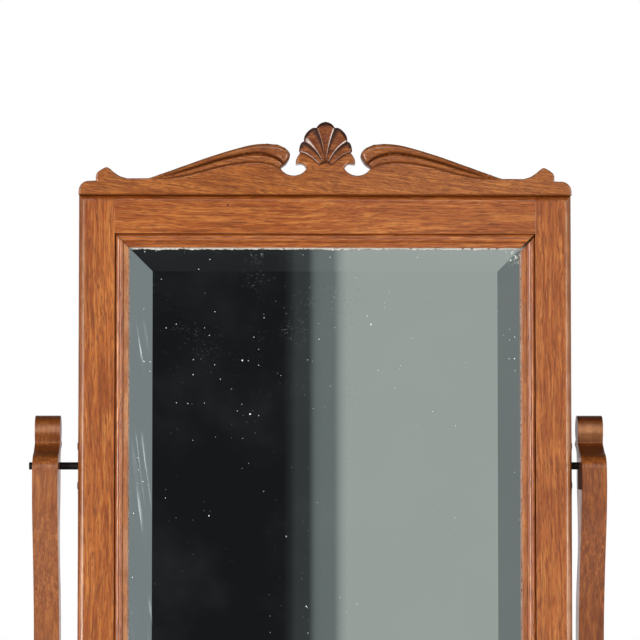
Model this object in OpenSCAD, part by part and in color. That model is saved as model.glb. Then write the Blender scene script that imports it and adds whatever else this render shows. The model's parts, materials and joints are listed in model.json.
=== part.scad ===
// Oak shaving stand: a swing mirror with a carved crest between two sawn arms,
// on a small case with a drawer, a cupboard and four cabriole legs.
// +Z is up, the front faces -Y, and the origin is on the floor at the middle of the stand.

/* [Mirror frame] */
// Width of the mirror frame over both stiles
frame_w = 430; // [400:1:440]
// Height of the mirror frame without its crest
frame_h = 536; // [500:1:560]
// Thickness of the frame's stiles and rails
frame_t = 22; // [20:1:26]
// Width of each stile
stile_w = 31.5; // [28:0.5:38]
// Width of the top and bottom rails
rail_w = 33.5; // [30:0.5:40]
// Radius on the frame's outer front edges
edge_r = 5.5; // [3:0.5:6]
// Length of the rails' tenons
tenon_l = 18; // [12:1:20]
// Thickness of the rails' tenons
tenon_t = 7; // [5:0.5:8]
// Width of the rebate that holds the back board
rebate_w = 8; // [5:0.5:10]

/* [Mirror glass] */
// Width of the moulding around the glass
bead_w = 12; // [9:0.5:16]
// Thickness of that moulding
bead_t = 8; // [7:0.5:10]
// How far the moulding's bead stands back from the frame's face
bead_set = 1; // [0.5:0.25:2]
// Width of the round bead within the moulding
bead_round = 7.6; // [5:0.2:8.5]
// How far the moulding's inner fillet is below its bead
fillet_drop = 3; // [2:0.5:4]
// How far the glass runs in behind the moulding
glass_lap = 6.3; // [4:0.1:8]
// Thickness of the glass
glass_t = 5; // [4:0.5:6]
// Width of the ground bevel
bevel_w = 27; // [15:0.5:32]
// Depth of the bevel at the glass edge
bevel_d = 1.8; // [1:0.1:3]
// Thickness of the back board
backboard_t = 5; // [3:0.5:7]
// Diameter of the back board's screw heads
backscrew_d = 7; // [5:0.5:7.5]

/* [Crest] */
// Thickness of the crest board
crest_t = 20; // [17:1:22]
// How far the crest overhangs the frame's face
crest_over = 4; // [2:0.5:6]
// How far the scrolls stand above the field
scroll_t = 3; // [2:0.5:5]
// How far the upper reed stands above the scroll
reed_t = 1.5; // [1:0.25:2.5]
// Height of the shell at its middle above the field
shell_t = 8; // [6:0.5:10]
// Height of the shell's centre of rays above the crest's lower edge
shell_base = 21.6; // [20:0.2:23]
// Length of the shell's middle ray
shell_r = 42; // [38:0.5:46]
// Depth of the notches between the shell's lobes
shell_notch = 2.5; // [1.5:0.25:3]
// Diameter of the crest's dowels
dowel_d = 8; // [6:0.5:9]
// Depth of each half of a dowel's bore
dowel_l = 11; // [8:0.5:12]
// Spacing of the crest's dowels
dowel_pitch = 150; // [120:1:165]
// Distance of the crest's dowels behind its field
dowel_back = 14; // [13:0.25:14.5]

/* [Pivots] */
// Gap between the mirror's lower edge and the stand's top
mirror_clear = 45; // [38:1:60]
// Distance of the pivots behind the stand's middle
pivot_y = 95; // [80:1:105]
// Distance from the pivots up to the frame's top edge
pivot_drop = 236; // [230:1:240]
// Diameter of the pivot pins
pin_d = 6.5; // [5.5:0.1:7]
// How far a pin reaches into its stile
pin_in = 16; // [12:1:20]
// How far the left pin's slotted end stands out of its arm
pin_out_left = 4.4; // [2:0.1:6]
// How far the right pin's slotted end stands out of its arm
pin_out_right = 1.6; // [1:0.1:3]
// Radial running clearance of pins in their bores
run_gap = 0.08; // [0.05:0.01:0.1]
// Length of the pivot plates
plate_l = 50; // [46:1:60]
// Width of the pivot plates
plate_w = 13; // [12:0.5:15]
// Thickness of the pivot plates
plate_t = 2; // [1.5:0.25:3]
// Spacing of the two screws in a pivot plate
plate_pitch = 34; // [30:1:36]

/* [Arms] */
// Thickness of the arms
arm_t = 22; // [18:1:24]
// Mean gap between an arm and the mirror frame
arm_gap = 11.5; // [9:0.5:13]
// How far the mirror sits to the right of the middle
mirror_shift = 4.9; // [0:0.1:6]
// Diameter of the round scroll on top of an arm
knob_d = 24; // [20:1:26]
// Height of the round scroll's centre above the pivots
knob_h = 32; // [29:0.5:34]
// Distance of the round scroll's centre behind the pivots
knob_back = 14; // [11:0.5:16]
// Height of the cross rail between the arms
cross_h = 30; // [20:1:34]
// Thickness of the cross rail
cross_t = 18; // [14:1:22]
// Length of the cross rail's tenons
cross_tenon = 10; // [6:1:14]
// Spacing of the two screws under each arm
foot_pitch = 60; // [40:1:66]

/* [Top] */
// How far the top board reaches out beyond each arm
top_margin = 11.5; // [9:0.5:20]
// Depth of the top board
top_d = 380; // [376:1:400]
// Thickness of the top board
top_t = 22; // [18:1:26]
// Height of the stand's top above the floor
top_h = 1030; // [980:1:1060]
// Radius on the top board's upper edge
top_r = 8; // [4:0.5:9]

/* [Case] */
// Width of the case over its corner posts
case_w = 456; // [430:1:460]
// Depth of the case over its corner posts
case_d = 336; // [320:1:342]
// Size of the square corner posts
post = 36; // [32:1:40]
// Thickness of the side panels
side_t = 16; // [12:1:18]
// How far the side panels stand back from the posts' faces
side_set = 4; // [2:0.5:6]
// How far panels enter the posts' grooves
groove = 7; // [5:0.5:9]
// Thickness of the back panel
back_t = 8; // [6:0.5:10]
// Height of the rail under the top
toprail_h = 18; // [14:1:24]
// Thickness of the rail under the top
toprail_t = 20; // [16:1:24]
// Thickness of the divider between drawer and cupboard
divider_t = 18; // [14:1:22]
// Thickness of the case bottom
bottom_t = 18; // [14:1:22]
// Height of the drawer's opening
drawer_open = 100; // [85:1:115]
// Height of the cupboard's opening
door_open = 290; // [260:1:310]
// Height of the aprons
apron_h = 45; // [35:1:55]
// Thickness of the aprons
apron_t = 18; // [14:1:20]
// Rise of the arch cut in the aprons
apron_rise = 18; // [10:1:22]
// How far drawer and door stand back from the posts' faces
front_set = 2; // [1:0.5:4]
// Clearance around boards that fit between others
fit = 0.15; // [0.1:0.05:0.3]

/* [Legs and shelf] */
// How far the knee stands out from the post
knee_out = 13; // [8:0.5:18]
// How far the ankle draws in from the post
ankle_in = 12; // [8:0.5:16]
// Height of the ankle above the floor
ankle_h = 110; // [90:1:130]
// Height of the lower shelf's upper side
shelf_h = 235; // [210:1:260]
// Thickness of the lower shelf
shelf_t = 16; // [12:1:20]
// Thickness of the cupboard's shelf
inner_t = 12; // [10:1:16]
// Height of the cupboard's shelf above the case bottom
inner_h = 140; // [120:1:160]
// Size of the square cleats under the cupboard's shelf
cleat = 12; // [8:1:12]

/* [Drawer] */
// Gap around the drawer's and the door's fronts
front_gap = 1.5; // [1:0.1:2]
// Thickness of the drawer's front
drawer_t = 20; // [16:1:22]
// Thickness of the drawer's sides and back
board_t = 10; // [8:0.5:12]
// Thickness of the drawer's bottom
floor_t = 5; // [4:0.5:7]
// Space left behind the drawer
drawer_space = 22; // [10:1:60]
// Running gap between the drawer and its guides
slide_gap = 0.4; // [0.3:0.05:0.8]
// Distance of each pull from the drawer's middle
pull_x = 95; // [70:1:120]
// Width of a pull's back plate
pull_w = 84; // [80:1:95]
// Height of a pull's back plate
pull_h = 24; // [18:1:30]
// Thickness of a pull's back plate
pull_t = 1.5; // [1:0.25:2.5]
// Spacing of a pull's two ears
ear_pitch = 60; // [50:1:66]
// Width of each ear
ear_w = 7; // [5:0.5:8]
// Distance of the bail's axis from its back plate
ear_out = 8; // [7:0.5:10]
// Thickness of the bail's bar
bail_t = 4; // [3:0.5:5]
// Length that the bail hangs down
bail_l = 26; // [20:1:32]
// Diameter of the bail's pins
bail_pin_d = 3; // [2.5:0.1:3.4]

/* [Door] */
// Width of the door's stiles and rails
door_frame = 46; // [40:1:56]
// Thickness of the door's frame
door_t = 20; // [18:1:22]
// Thickness of the door's panel
panel_t = 8; // [6:0.5:9]
// Height of a hinge
hinge_l = 50; // [42:1:60]
// Distance of each hinge's middle from the door's end
hinge_in = 50; // [40:1:60]
// Diameter of a hinge's barrel
barrel_d = 8; // [7:0.5:9]
// Diameter of a hinge's pin
hinge_pin_d = 4; // [3:0.25:5]
// Height of the heads on a hinge's pin
pin_head_t = 2; // [1.5:0.25:3]
// Width of a hinge's leaf
leaf_w = 20; // [16:1:22]
// Thickness of a hinge's leaf
leaf_t = 1.5; // [1.2:0.1:2]
// Gap between a hinge's knuckles
knuckle_gap = 0.4; // [0.3:0.05:0.6]
// Diameter of the catch's knob
catch_d = 22; // [18:1:26]
// Diameter of the catch's spindle
spindle_d = 7; // [5:0.5:8]
// Length of the catch's tongue
tongue_l = 32; // [30:1:34]
// Width of the catch's tongue
tongue_w = 10; // [8:0.5:12]
// Thickness of the catch's tongue
tongue_t = 2.5; // [2:0.25:3.5]

/* [Hidden] */
$fn = 64;

OAK = "#ac6538";
OAK_DARK = "#a3623a";
OAK_PALE = "#b98653";
IRON = "#2b2725";
BRASS = "#b08a3e";
SILVER = "#8f9694";

e = 0.01;                 // overlap that makes cuts run clean through a face
seat = 0.3;               // rest gap under pieces that slide or turn
screw_proud = 0.8;        // height of a plate screw's head above its plate
curve_steps = 6;          // steps in each stretch of a smooth curve
scroll_steps = 4;         // steps in each stretch of a carved curve

// Mirror, seen from its pivots
pivot_h = frame_h - pivot_drop + mirror_clear;
pivot_z = top_h + pivot_h;
frame_top = pivot_drop;
frame_bottom = pivot_drop - frame_h;
face_y = -frame_t / 2;
open_w = frame_w - 2 * stile_w;
open_h = frame_h - 2 * rail_w;
sight_w = open_w - 2 * bead_w;
sight_h = open_h - 2 * bead_w;
open_mid = frame_top - rail_w - open_h / 2;
bead_y = face_y + bead_set;
glass_y = bead_y + bead_t;
board_y = glass_y + glass_t;
board_w = open_w + 2 * rebate_w;
board_h = open_h + 2 * rebate_w;
crest_y = face_y - crest_over;

// Arms
arm_in = frame_w / 2 + arm_gap;
arm_mid = arm_in + arm_t / 2;
top_w = 2 * (arm_in + arm_t + top_margin);
foot_y = 2;               // middle of the arms' feet behind the pivots
cross_y = -4;             // middle of the cross rail behind the pivots

// Case
half_w = case_w / 2;
half_d = case_d / 2;
post_x = half_w - post;
post_y = half_d - post;
post_top = top_h - top_t;
drawer_z1 = post_top - toprail_h;
drawer_z0 = drawer_z1 - drawer_open;
door_z1 = drawer_z0 - divider_t;
door_z0 = door_z1 - door_open;
case_z0 = door_z0 - bottom_t;
apron_z0 = case_z0 - apron_h;
side_out = half_w - side_set;
side_in = side_out - side_t;
back_y = half_d - post / 2;
board_front = -half_d + front_set;
board_depth = back_y - back_t / 2 - board_front;

// Drawer
drawer_w = 2 * (post_x - front_gap);
drawer_h = drawer_open - 2 * front_gap;
drawer_half = post_x - 1;
drawer_base = drawer_z0 + seat;
drawer_l = back_y - back_t / 2 - drawer_space - board_front - drawer_t;
pull_z = (drawer_z0 + drawer_z1) / 2 + pull_h / 6;
pull_y = board_front - pull_t - ear_out;

// Door
door_w = 2 * (post_x - front_gap);
door_h = door_open - 2 * front_gap;
door_mid = (door_z0 + door_z1) / 2;
door_back = board_front + door_t;
hinge_x = -post_x + front_gap / 2;
hinge_y = -half_d - 1;
hinge_z = [door_z0 + front_gap + hinge_in, door_z1 - front_gap - hinge_in];
leaf_face = seat / 2;     // each leaf lies this far from the hinge's axis plane
knuckle_l = (hinge_l - 2 * knuckle_gap) / 3;
catch_x = post_x - front_gap - door_frame / 2;
tongue_y = door_back + seat;

// A point of the smooth curve through a, b, c and d, at t between b and c
function blend_point(a, b, c, d, t) =
    0.5 * (2 * b + (c - a) * t + (2 * a - 5 * b + 4 * c - d) * t * t
    + (3 * b - a - 3 * c + d) * t * t * t);

// A smooth curve through the points p, with n steps in each stretch
function smooth(p, n) = concat(
    [for (i = [0 : len(p) - 2]) for (k = [0 : n - 1])
        blend_point(p[max(i - 1, 0)], p[i], p[i + 1], p[min(i + 2, len(p) - 1)], k / n)],
    [p[len(p) - 1]]);

// Points of an arc around c with radius r from angle a0 to a1
function arc(c, r, a0, a1, n) =
    [for (k = [0 : n]) let (a = a0 + (a1 - a0) * k / n) c + r * [cos(a), sin(a)]];

function turned(p) = [for (i = [len(p) - 1 : -1 : 0]) p[i]];

// The crest's outer outline from its stepped end to the nose of the scroll, as [out, up]
function crest_end(w) = concat(
    [[w, 0], [w, 3]],
    arc([w - 9, 3], 9, 15, 80, 5),
    [[w - 15, 12.2], [w - 15, 16.5]],
    smooth([[w - 16, 19], [w - 20, 22], [w - 25, 23.8], [w - 31, 19.3],
        [w - 36, 16.1], [w - 42, 14.2]], scroll_steps));
SCROLL_TOP = [[154, 14.3], [144, 17.8], [133, 21.4], [112.5, 29.1], [91.5, 36.2],
    [70.6, 42.2], [60, 44.2], [51, 44.6], [42, 43.8], [35.5, 41], [31.8, 37.5], [31.1, 33.8],
    [34.5, 27.7], [39.5, 24.1]];
SCROLL_FOOT = [[39.5, 24.1], [49, 27.6], [60.5, 28.4], [77.6, 27.6], [95, 25], [114, 20.2],
    [133, 15.6], [148, 14.4]];
SCROLL_GROOVE = [[37, 31], [42.5, 35.5], [52, 36.6], [66, 35.4], [88, 30.8], [112, 24.4],
    [133, 18.6], [150, 15]];
EAR = [[16.3, 23.4], [18.6, 27], [21.2, 28], [25.9, 27.3], [25.8, 30.2], [24.7, 33], [23, 35.6]];
CUT_MID = [27.8, 30.5];   // centre of the round cut-out beside the shell
CUT_R = 13.6;

// Radius of the shell's rim at an angle from straight up
function lobe_at(a) = abs(a / SHELL_RAY - round(a / SHELL_RAY));
function shell_edge(a) =
    shell_r - 0.095 * pow(abs(a), 1.24) - shell_notch * pow(2 * lobe_at(a), 3);
SHELL_RAY = 25;           // angle from one lobe to the next
SHELL_END = 60;           // angle of the shell's lower ends
SHELL_START = 7;          // radius of the shell's lower arc
function shell_point(a, r) = [r * sin(a), shell_base + r * cos(a)];

function crest_half(w) = concat(
    crest_end(w),
    smooth(SCROLL_TOP, scroll_steps),
    arc(CUT_MID, CUT_R, -30, -150, 8),
    EAR);
function mirrored(p) = [for (q = turned(p)) [-q[0], q[1]]];

function crest_outline(w) = concat(
    crest_half(w),
    [for (a = [SHELL_END - 4 : -4 : -SHELL_END + 4]) shell_point(a, shell_edge(a) - 1)],
    mirrored(crest_half(w)));

// An arm's outline behind (+) or before (-) the pivots, and above or below them
function arm_front(h) = smooth([[2, 28], [4.6, 20.2], [-1.5, 15.6], [-8, 12], [-17.5, 8.4],
    [-23.6, 0.8], [-25.4, -13], [-24.2, -30], [-20.6, -47], [-15, -66], [-5, -100],
    [3, -145], [1, -195], [-8, -245], [-19, -h + 55], [-32, -h + 28], [-48, -h + 14]],
    scroll_steps);
function arm_back(h) = smooth([[52, -h + 14], [40, -h + 26], [30, -h + 50], [22, -h + 85],
    [24, -215], [28, -165], [23, -115], [9, -76], [8.2, -50], [12.5, -30], [15.4, -10],
    [14.2, 8], [19, 14.5], [31, 18.6]], scroll_steps);
function arm_outline(h) = concat(
    arm_front(h),
    [[-48, -h], [52, -h]],
    arm_back(h),
    [[24, 22]]);

// A leg's outline: distance in from the post's outer face, and height
function leg_outer(h) = smooth([[4, 0], [-2, 8], [-3, 22], [2, 50], [ankle_in, ankle_h],
    [ankle_in - 1, ankle_h + 70], [4, h - 170], [-knee_out + 3, h - 90], [-knee_out, h - 55],
    [-knee_out + 4, h - 25], [0, h]], curve_steps);
function leg_inner(h) = smooth([[post, h], [post - 1, h - 30], [post - 3, h - 80],
    [post - 2, h - 150], [post, ankle_h + 80], [post, ankle_h], [post - 3, 60],
    [post - 1, 20], [post - 5, 0]], curve_steps);
function leg_outline() = concat(
    leg_outer(apron_z0), [[0, post_top], [post, post_top]], leg_inner(apron_z0));

module box_at(x0, y0, z0, x1, y1, z1) {
    translate([x0, y0, z0]) cube([x1 - x0, y1 - y0, z1 - z0]);
}

// Extrudes an outline drawn in X and Z towards +Y, from y0 on
module slab_y(y0, t) {
    translate([0, y0 + t, 0]) rotate([90, 0, 0]) linear_extrude(t) children();
}

// Extrudes an outline drawn in Y and Z towards +X, from x0 on
module slab_x(x0, t) {
    translate([x0, 0, 0]) rotate([90, 0, 90]) linear_extrude(t) children();
}

module rod_x(x0, x1, d) {
    translate([x0, 0, 0]) rotate([0, 90, 0]) cylinder(d = d, h = x1 - x0);
}

module rod_y(y0, y1, d) {
    translate([0, y0, 0]) rotate([-90, 0, 0]) cylinder(d = d, h = y1 - y0);
}

// Places a piece that is drawn from the mirror's pivots
module at_pivot() {
    translate([mirror_shift, pivot_y, pivot_z]) children();
}

module at_arms() {
    translate([0, pivot_y, pivot_z]) children();
}

// ---- Legs and case ----

// The leg at the corner whose outer faces lie on x = 0 and y = 0
module leg_blank() {
    intersection() {
        slab_y(-knee_out - 10, post + knee_out + 20) polygon(leg_outline());
        slab_x(-knee_out - 10, post + knee_out + 20) polygon(leg_outline());
    }
}

// Groove that takes a side panel, in the face that looks along +Y
module side_groove() {
    box_at(side_set - fit, post - groove - fit, case_z0,
        side_set + side_t + fit, post + 60, post_top + 60);
}

// Groove that takes the back panel, in the face that looks along +X
module back_groove() {
    box_at(post - groove - fit, post / 2 - back_t / 2 - fit, case_z0,
        post + 60, post / 2 + back_t / 2 + fit, post_top + 60);
}

// Corner notch in the lower shelf's place, where the shelf enters the leg
module shelf_groove() {
    box_at(post / 2 - fit, post / 2 - fit, shelf_h - shelf_t - fit, post + 60, post + 60, shelf_h + fit);
}

module at_corner(sx, sy) {
    translate([sx * half_w, sy * half_d, 0])
        mirror([sx > 0 ? 1 : 0, 0, 0]) mirror([0, sy > 0 ? 1 : 0, 0]) children();
}

module leg(sx, sy) {
    color(OAK) difference() {
        at_corner(sx, sy) difference() {
            leg_blank();
            side_groove();
            shelf_groove();
            if (sy > 0) back_groove();
        }
        if (sy < 0 && sx < 0) hinge_gains(-1);
        if (sy < 0 && sx > 0) tongue_mortise();
    }
}

module leg_front_left() leg(-1, -1);
module leg_front_right() leg(1, -1);
module leg_back_left() leg(-1, 1);
module leg_back_right() leg(1, 1);

module side_panel(s) {
    color(OAK) box_at(s > 0 ? side_in : -side_out, -post_y - groove, case_z0,
        s > 0 ? side_out : -side_in, post_y + groove, post_top);
}

module side_panel_left() side_panel(-1);
module side_panel_right() side_panel(1);

module back_panel() {
    color(OAK_PALE) box_at(-post_x - groove, back_y - back_t / 2, case_z0,
        post_x + groove, back_y + back_t / 2, post_top);
}

// A board across the case, notched around the corner posts
module case_board(z0, z1) {
    color(OAK) difference() {
        box_at(-side_in, board_front, z0, side_in, board_front + board_depth, z1);
        for (sx = [-1, 1]) for (sy = [-1, 1])
            translate([sx * (post_x + post), sy * (post_y + post), (z0 + z1) / 2])
                cube([2 * post, 2 * post, 2 * (z1 - z0)], center = true);
    }
}

module case_bottom() case_board(case_z0, door_z0);
module drawer_divider() case_board(door_z1, drawer_z0);

module front_top_rail() {
    color(OAK) box_at(-post_x, board_front, drawer_z1,
        post_x, board_front + toprail_t, post_top);
}

// An apron's face with an arched lower edge, between -half and half
module apron_face(half) {
    difference() {
        translate([-half, apron_z0]) square([2 * half, apron_h]);
        polygon(concat(
            smooth([[-half + 14, apron_z0 - 1], [-half + 30, apron_z0 + 5],
                [-half * 0.5, apron_z0 + apron_rise], [-12, apron_z0 + apron_rise - 5],
                [0, apron_z0 + apron_rise - 9]], curve_steps),
            smooth([[0, apron_z0 + apron_rise - 9], [12, apron_z0 + apron_rise - 5],
                [half * 0.5, apron_z0 + apron_rise], [half - 30, apron_z0 + 5],
                [half - 14, apron_z0 - 1]], curve_steps)));
    }
}

module apron_front() {
    color(OAK) slab_y(board_front, apron_t) apron_face(post_x);
}

module apron_side(s) {
    color(OAK) slab_x(s > 0 ? side_out - apron_t : -side_out, apron_t) apron_face(post_y);
}

module apron_left() apron_side(-1);
module apron_right() apron_side(1);

// Strips that fill the space beside the drawer and guide it
module drawer_guides() {
    color(OAK_PALE) for (s = [-1, 1])
        translate([s * (drawer_half + slide_gap + side_in) / 2, 0, drawer_z0 + drawer_open / 4])
            cube([side_in - drawer_half - slide_gap, 2 * post_y, drawer_open / 2], center = true);
}

// A section of the top board, with its upper edges rounded
module top_section(half) {
    polygon(concat(
        [[-half, post_top], [half, post_top]],
        arc([half - top_r, top_h - top_r], top_r, 0, 90, 8),
        arc([-half + top_r, top_h - top_r], top_r, 90, 180, 8)));
}

module top_board() {
    color(OAK_DARK) difference() {
        intersection() {
            slab_y(-top_d / 2, top_d) top_section(top_w / 2);
            slab_x(-top_w / 2, top_w) top_section(top_d / 2);
        }
        for (s = [-1, 1]) for (k = [-1, 1])
            translate([s * arm_mid, pivot_y + foot_y + k * foot_pitch / 2, 0]) arm_screw(fit);
    }
}

// The shelf between the legs, with hollowed edges
module lower_shelf() {
    sx = half_w - post / 2;
    sy = half_d - post / 2;
    hollow = 26;
    color(OAK) translate([0, 0, shelf_h - shelf_t]) linear_extrude(shelf_t)
        polygon(concat(
            smooth([[-sx, -sy], [-sx * 0.75, -sy + 4], [0, -sy + hollow], [sx * 0.75, -sy + 4],
                [sx, -sy]], curve_steps),
            smooth([[sx, -sy], [sx - 4, -sy * 0.75], [sx - hollow, 0], [sx - 4, sy * 0.75],
                [sx, sy]], curve_steps),
            smooth([[sx, sy], [sx * 0.75, sy - 4], [0, sy - hollow], [-sx * 0.75, sy - 4],
                [-sx, sy]], curve_steps),
            smooth([[-sx, sy], [-sx + 4, sy * 0.75], [-sx + hollow, 0], [-sx + 4, -sy * 0.75],
                [-sx, -sy]], curve_steps)));
}

module cupboard_shelf() {
    color(OAK_PALE) box_at(-side_in + fit, -post_y + 8, door_z0 + inner_h,
        side_in - fit, post_y - 2, door_z0 + inner_h + inner_t);
}

module shelf_cleats() {
    color(OAK_PALE) for (s = [-1, 1])
        translate([s * (side_in - cleat / 2), 0, door_z0 + inner_h - cleat / 2])
            cube([cleat, 2 * post_y - 20, cleat], center = true);
}

// ---- Arms ----

module arm(s) {
    color(OAK) difference() {
        at_arms() difference() {
            slab_x(s > 0 ? arm_in : -arm_in - arm_t, arm_t) union() {
                polygon(arm_outline(pivot_h));
                translate([knob_back, knob_h]) circle(d = knob_d);
            }
            rod_x(-arm_in - arm_t - 10, arm_in + arm_t + 10, pin_d + 2 * run_gap);
            cross_tenons(fit);
        }
        for (k = [-1, 1])
            translate([s * arm_mid, pivot_y + foot_y + k * foot_pitch / 2, 0]) arm_screw(0.05);
    }
}

module arm_left() arm(-1);
module arm_right() arm(1);

// The cross rail's tenons, grown by a clearance to cut their mortises
module cross_tenons(grow) {
    box_at(-arm_in - cross_tenon - grow, cross_y - cross_t / 4 - grow, -pivot_h + 6 - grow,
        arm_in + cross_tenon + grow, cross_y + cross_t / 4 + grow, -pivot_h + cross_h - 6 + grow);
}

module arm_cross_rail() {
    color(OAK) at_arms() union() {
        box_at(-arm_in, cross_y - cross_t / 2, -pivot_h, arm_in, cross_y + cross_t / 2,
            -pivot_h + cross_h);
        cross_tenons(0);
    }
}

// A countersunk wood screw, head down in the top board's underside
module arm_screw(grow) {
    head = 9;
    shank = 5;
    translate([0, 0, post_top]) {
        cylinder(d1 = head + 2 * grow, d2 = shank + 2 * grow, h = 3);
        cylinder(d = shank + 2 * grow, h = top_t + 16 + grow);
        if (grow > 0) translate([0, 0, -e]) cylinder(d = head + 2 * grow, h = 2 * e);
    }
}

module arm_screws() {
    color(IRON) for (s = [-1, 1]) for (k = [-1, 1])
        translate([s * arm_mid, pivot_y + foot_y + k * foot_pitch / 2, 0]) arm_screw(0);
}

// ---- Mirror ----

// Section of a stile or rail: x runs in from the outer edge, y runs back from the face
module frame_section(w) {
    polygon(concat(
        arc([edge_r, face_y + edge_r], edge_r, 180, 270, 8),
        [[w, face_y], [w, board_y], [w - rebate_w, board_y], [w - rebate_w, frame_t / 2],
        [0, frame_t / 2]]));
}

module rail_tenons(z, grow) {
    box_at(-open_w / 2 - tenon_l - grow, -tenon_t / 2 - 3 - grow, z - rail_w / 2 + 6 - grow,
        open_w / 2 + tenon_l + grow, tenon_t / 2 - 3 + grow, z + rail_w / 2 - 6 + grow);
}

module pivot_plate_cut(s) {
    translate([s * (frame_w / 2 - plate_t / 2 + 1), 0, 0])
        cube([plate_t + 2, plate_w, plate_l], center = true);
}

// Waste outside the rounded edge along the frame's top (up = 1) or bottom
module end_waste(up) {
    slab_x(-frame_w / 2 - 1, frame_w + 2)
        translate([face_y, up > 0 ? frame_top : frame_bottom]) mirror([0, up > 0 ? 0 : 1])
            polygon(concat(
                [[-1, -edge_r]],
                arc([edge_r, -edge_r], edge_r, 180, 90, 8),
                [[edge_r, 1], [-1, 1]]));
}

module stile(s) {
    color(OAK) at_pivot() difference() {
        mirror([s > 0 ? 1 : 0, 0, 0]) translate([-frame_w / 2, 0, frame_bottom])
            linear_extrude(frame_h) frame_section(stile_w);
        for (z = [frame_top - rail_w / 2, frame_bottom + rail_w / 2]) rail_tenons(z, fit);
        for (up = [-1, 1]) end_waste(up);
        pivot_plate_cut(s);
        translate([s > 0 ? frame_w / 2 - pin_in : -frame_w / 2, 0, 0])
            rod_x(0, pin_in, pin_d + 2 * run_gap);
        for (k = [-1, 1]) translate([0, 0, k * plate_pitch / 2])
            rod_x(s > 0 ? frame_w / 2 - 12 : -frame_w / 2, s > 0 ? frame_w / 2 : -frame_w / 2 + 12, 3.1);
    }
}

module mirror_stile_left() stile(-1);
module mirror_stile_right() stile(1);

// A rail between the stiles; up is 1 for the top rail and -1 for the bottom one
module mirror_rail(up) {
    z = up > 0 ? frame_top - rail_w / 2 : frame_bottom + rail_w / 2;
    color(OAK) at_pivot() difference() {
        union() {
            translate([-open_w / 2, 0, 0]) rotate([0, 90, 0]) linear_extrude(open_w) rail_face(up);
            rail_tenons(z, 0);
        }
        if (up > 0) crest_dowel_set(fit / 3);
    }
}

// Section of a rail, turned so that its outer edge faces away from the glass
module rail_face(up) {
    translate([up > 0 ? -frame_top : -frame_bottom, 0]) mirror([up > 0 ? 0 : 1, 0])
        frame_section(rail_w);
}

module mirror_top_rail() mirror_rail(1);
module mirror_bottom_rail() mirror_rail(-1);

// Section of the moulding around the glass: x runs towards the glass, y runs back
module bead_section() {
    r = bead_round / 2;
    polygon(concat(
        [[0, bead_y + r]],
        arc([r, bead_y + r], r, 180, 360, 10),
        [[bead_round, bead_y + fillet_drop + 0.5], [bead_w - 0.8, bead_y + fillet_drop + 0.5],
        [bead_w, bead_y + fillet_drop + 1.3], [bead_w, glass_y], [0, glass_y]]));
}

// One mitred length of the moulding, along an opening side of the given length
module bead_length(len) {
    intersection() {
        translate([0, 0, -len / 2]) linear_extrude(len) bead_section();
        slab_y(bead_y - 1, bead_t + 2)
            polygon([[0, -len / 2], [bead_w, -len / 2 + bead_w],
                [bead_w, len / 2 - bead_w], [0, len / 2]]);
    }
}

module glass_bead_left() {
    color(OAK) at_pivot() translate([-open_w / 2, 0, open_mid]) bead_length(open_h);
}

module glass_bead_right() {
    color(OAK) at_pivot() translate([open_w / 2, 0, open_mid]) mirror([1, 0, 0]) bead_length(open_h);
}

module glass_bead_top() {
    color(OAK) at_pivot() translate([0, 0, open_mid + open_h / 2]) rotate([0, 90, 0]) bead_length(open_w);
}

module glass_bead_bottom() {
    color(OAK) at_pivot() translate([0, 0, open_mid - open_h / 2]) rotate([0, -90, 0]) bead_length(open_w);
}

// The glass, its four edges ground to a bevel
module mirror_glass() {
    gw = sight_w + 2 * glass_lap;
    gh = sight_h + 2 * glass_lap;
    color(SILVER) at_pivot() translate([0, 0, open_mid]) difference() {
        box_at(-gw / 2, glass_y, -gh / 2, gw / 2, glass_y + glass_t, gh / 2);
        for (s = [-1, 1]) {
            translate([0, 0, -gh]) linear_extrude(2 * gh) bevel_wedge(s, gw / 2);
            translate([-gw, 0, 0]) rotate([0, 90, 0]) linear_extrude(2 * gw) bevel_wedge(s, gh / 2);
        }
    }
}

// The wedge that grinding takes off one edge, which lies at s * half
module bevel_wedge(s, half) {
    polygon([[s * (half - bevel_w), glass_y], [s * (half + bevel_w), glass_y + 2 * bevel_d],
        [s * (half + bevel_w), glass_y - 1], [s * (half - bevel_w), glass_y - 1]]);
}

// Places of the back board's screws
function board_holes() = [for (k = [-1, 1]) for (j = [-1, 0, 1])
    [k * (board_w / 2 - rebate_w / 2), open_mid + j * (board_h / 2 - 40)]];

module mirror_back_board() {
    color(OAK_PALE) at_pivot() difference() {
        box_at(-board_w / 2 + fit, board_y, open_mid - board_h / 2 + fit,
            board_w / 2 - fit, board_y + backboard_t, open_mid + board_h / 2 - fit);
        for (p = board_holes()) translate([p[0], 0, p[1]])
            rod_y(board_y - 1, board_y + backboard_t + 1, 3.1);
    }
}

// Pan-head screws through the back board
module back_board_screws() {
    color(BRASS) at_pivot() for (p = board_holes()) translate([p[0], 0, p[1]]) {
        rod_y(board_y, board_y + backboard_t + e, 3);
        rod_y(board_y + backboard_t, board_y + backboard_t + 1.6, backscrew_d);
    }
}

// ---- Crest ----

module crest_dowel_set(grow) {
    for (x = [-dowel_pitch, 0, dowel_pitch])
        translate([x, crest_y + dowel_back, frame_top - dowel_l - grow])
            cylinder(d = dowel_d + 2 * grow, h = 2 * dowel_l + 2 * grow);
}

module crest_board() {
    color(OAK) at_pivot() difference() {
        translate([0, 0, frame_top]) {
            slab_y(crest_y, crest_t) polygon(crest_outline(frame_w / 2));
            for (s = [0, 1]) mirror([s, 0, 0]) {
                slab_y(crest_y - scroll_t, scroll_t + e)
                    polygon(concat(smooth(SCROLL_TOP, scroll_steps), smooth(SCROLL_FOOT, scroll_steps)));
                slab_y(crest_y - scroll_t - reed_t, reed_t + e) scroll_reed();
            }
        }
        crest_dowel_set(fit / 3);
    }
}

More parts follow.
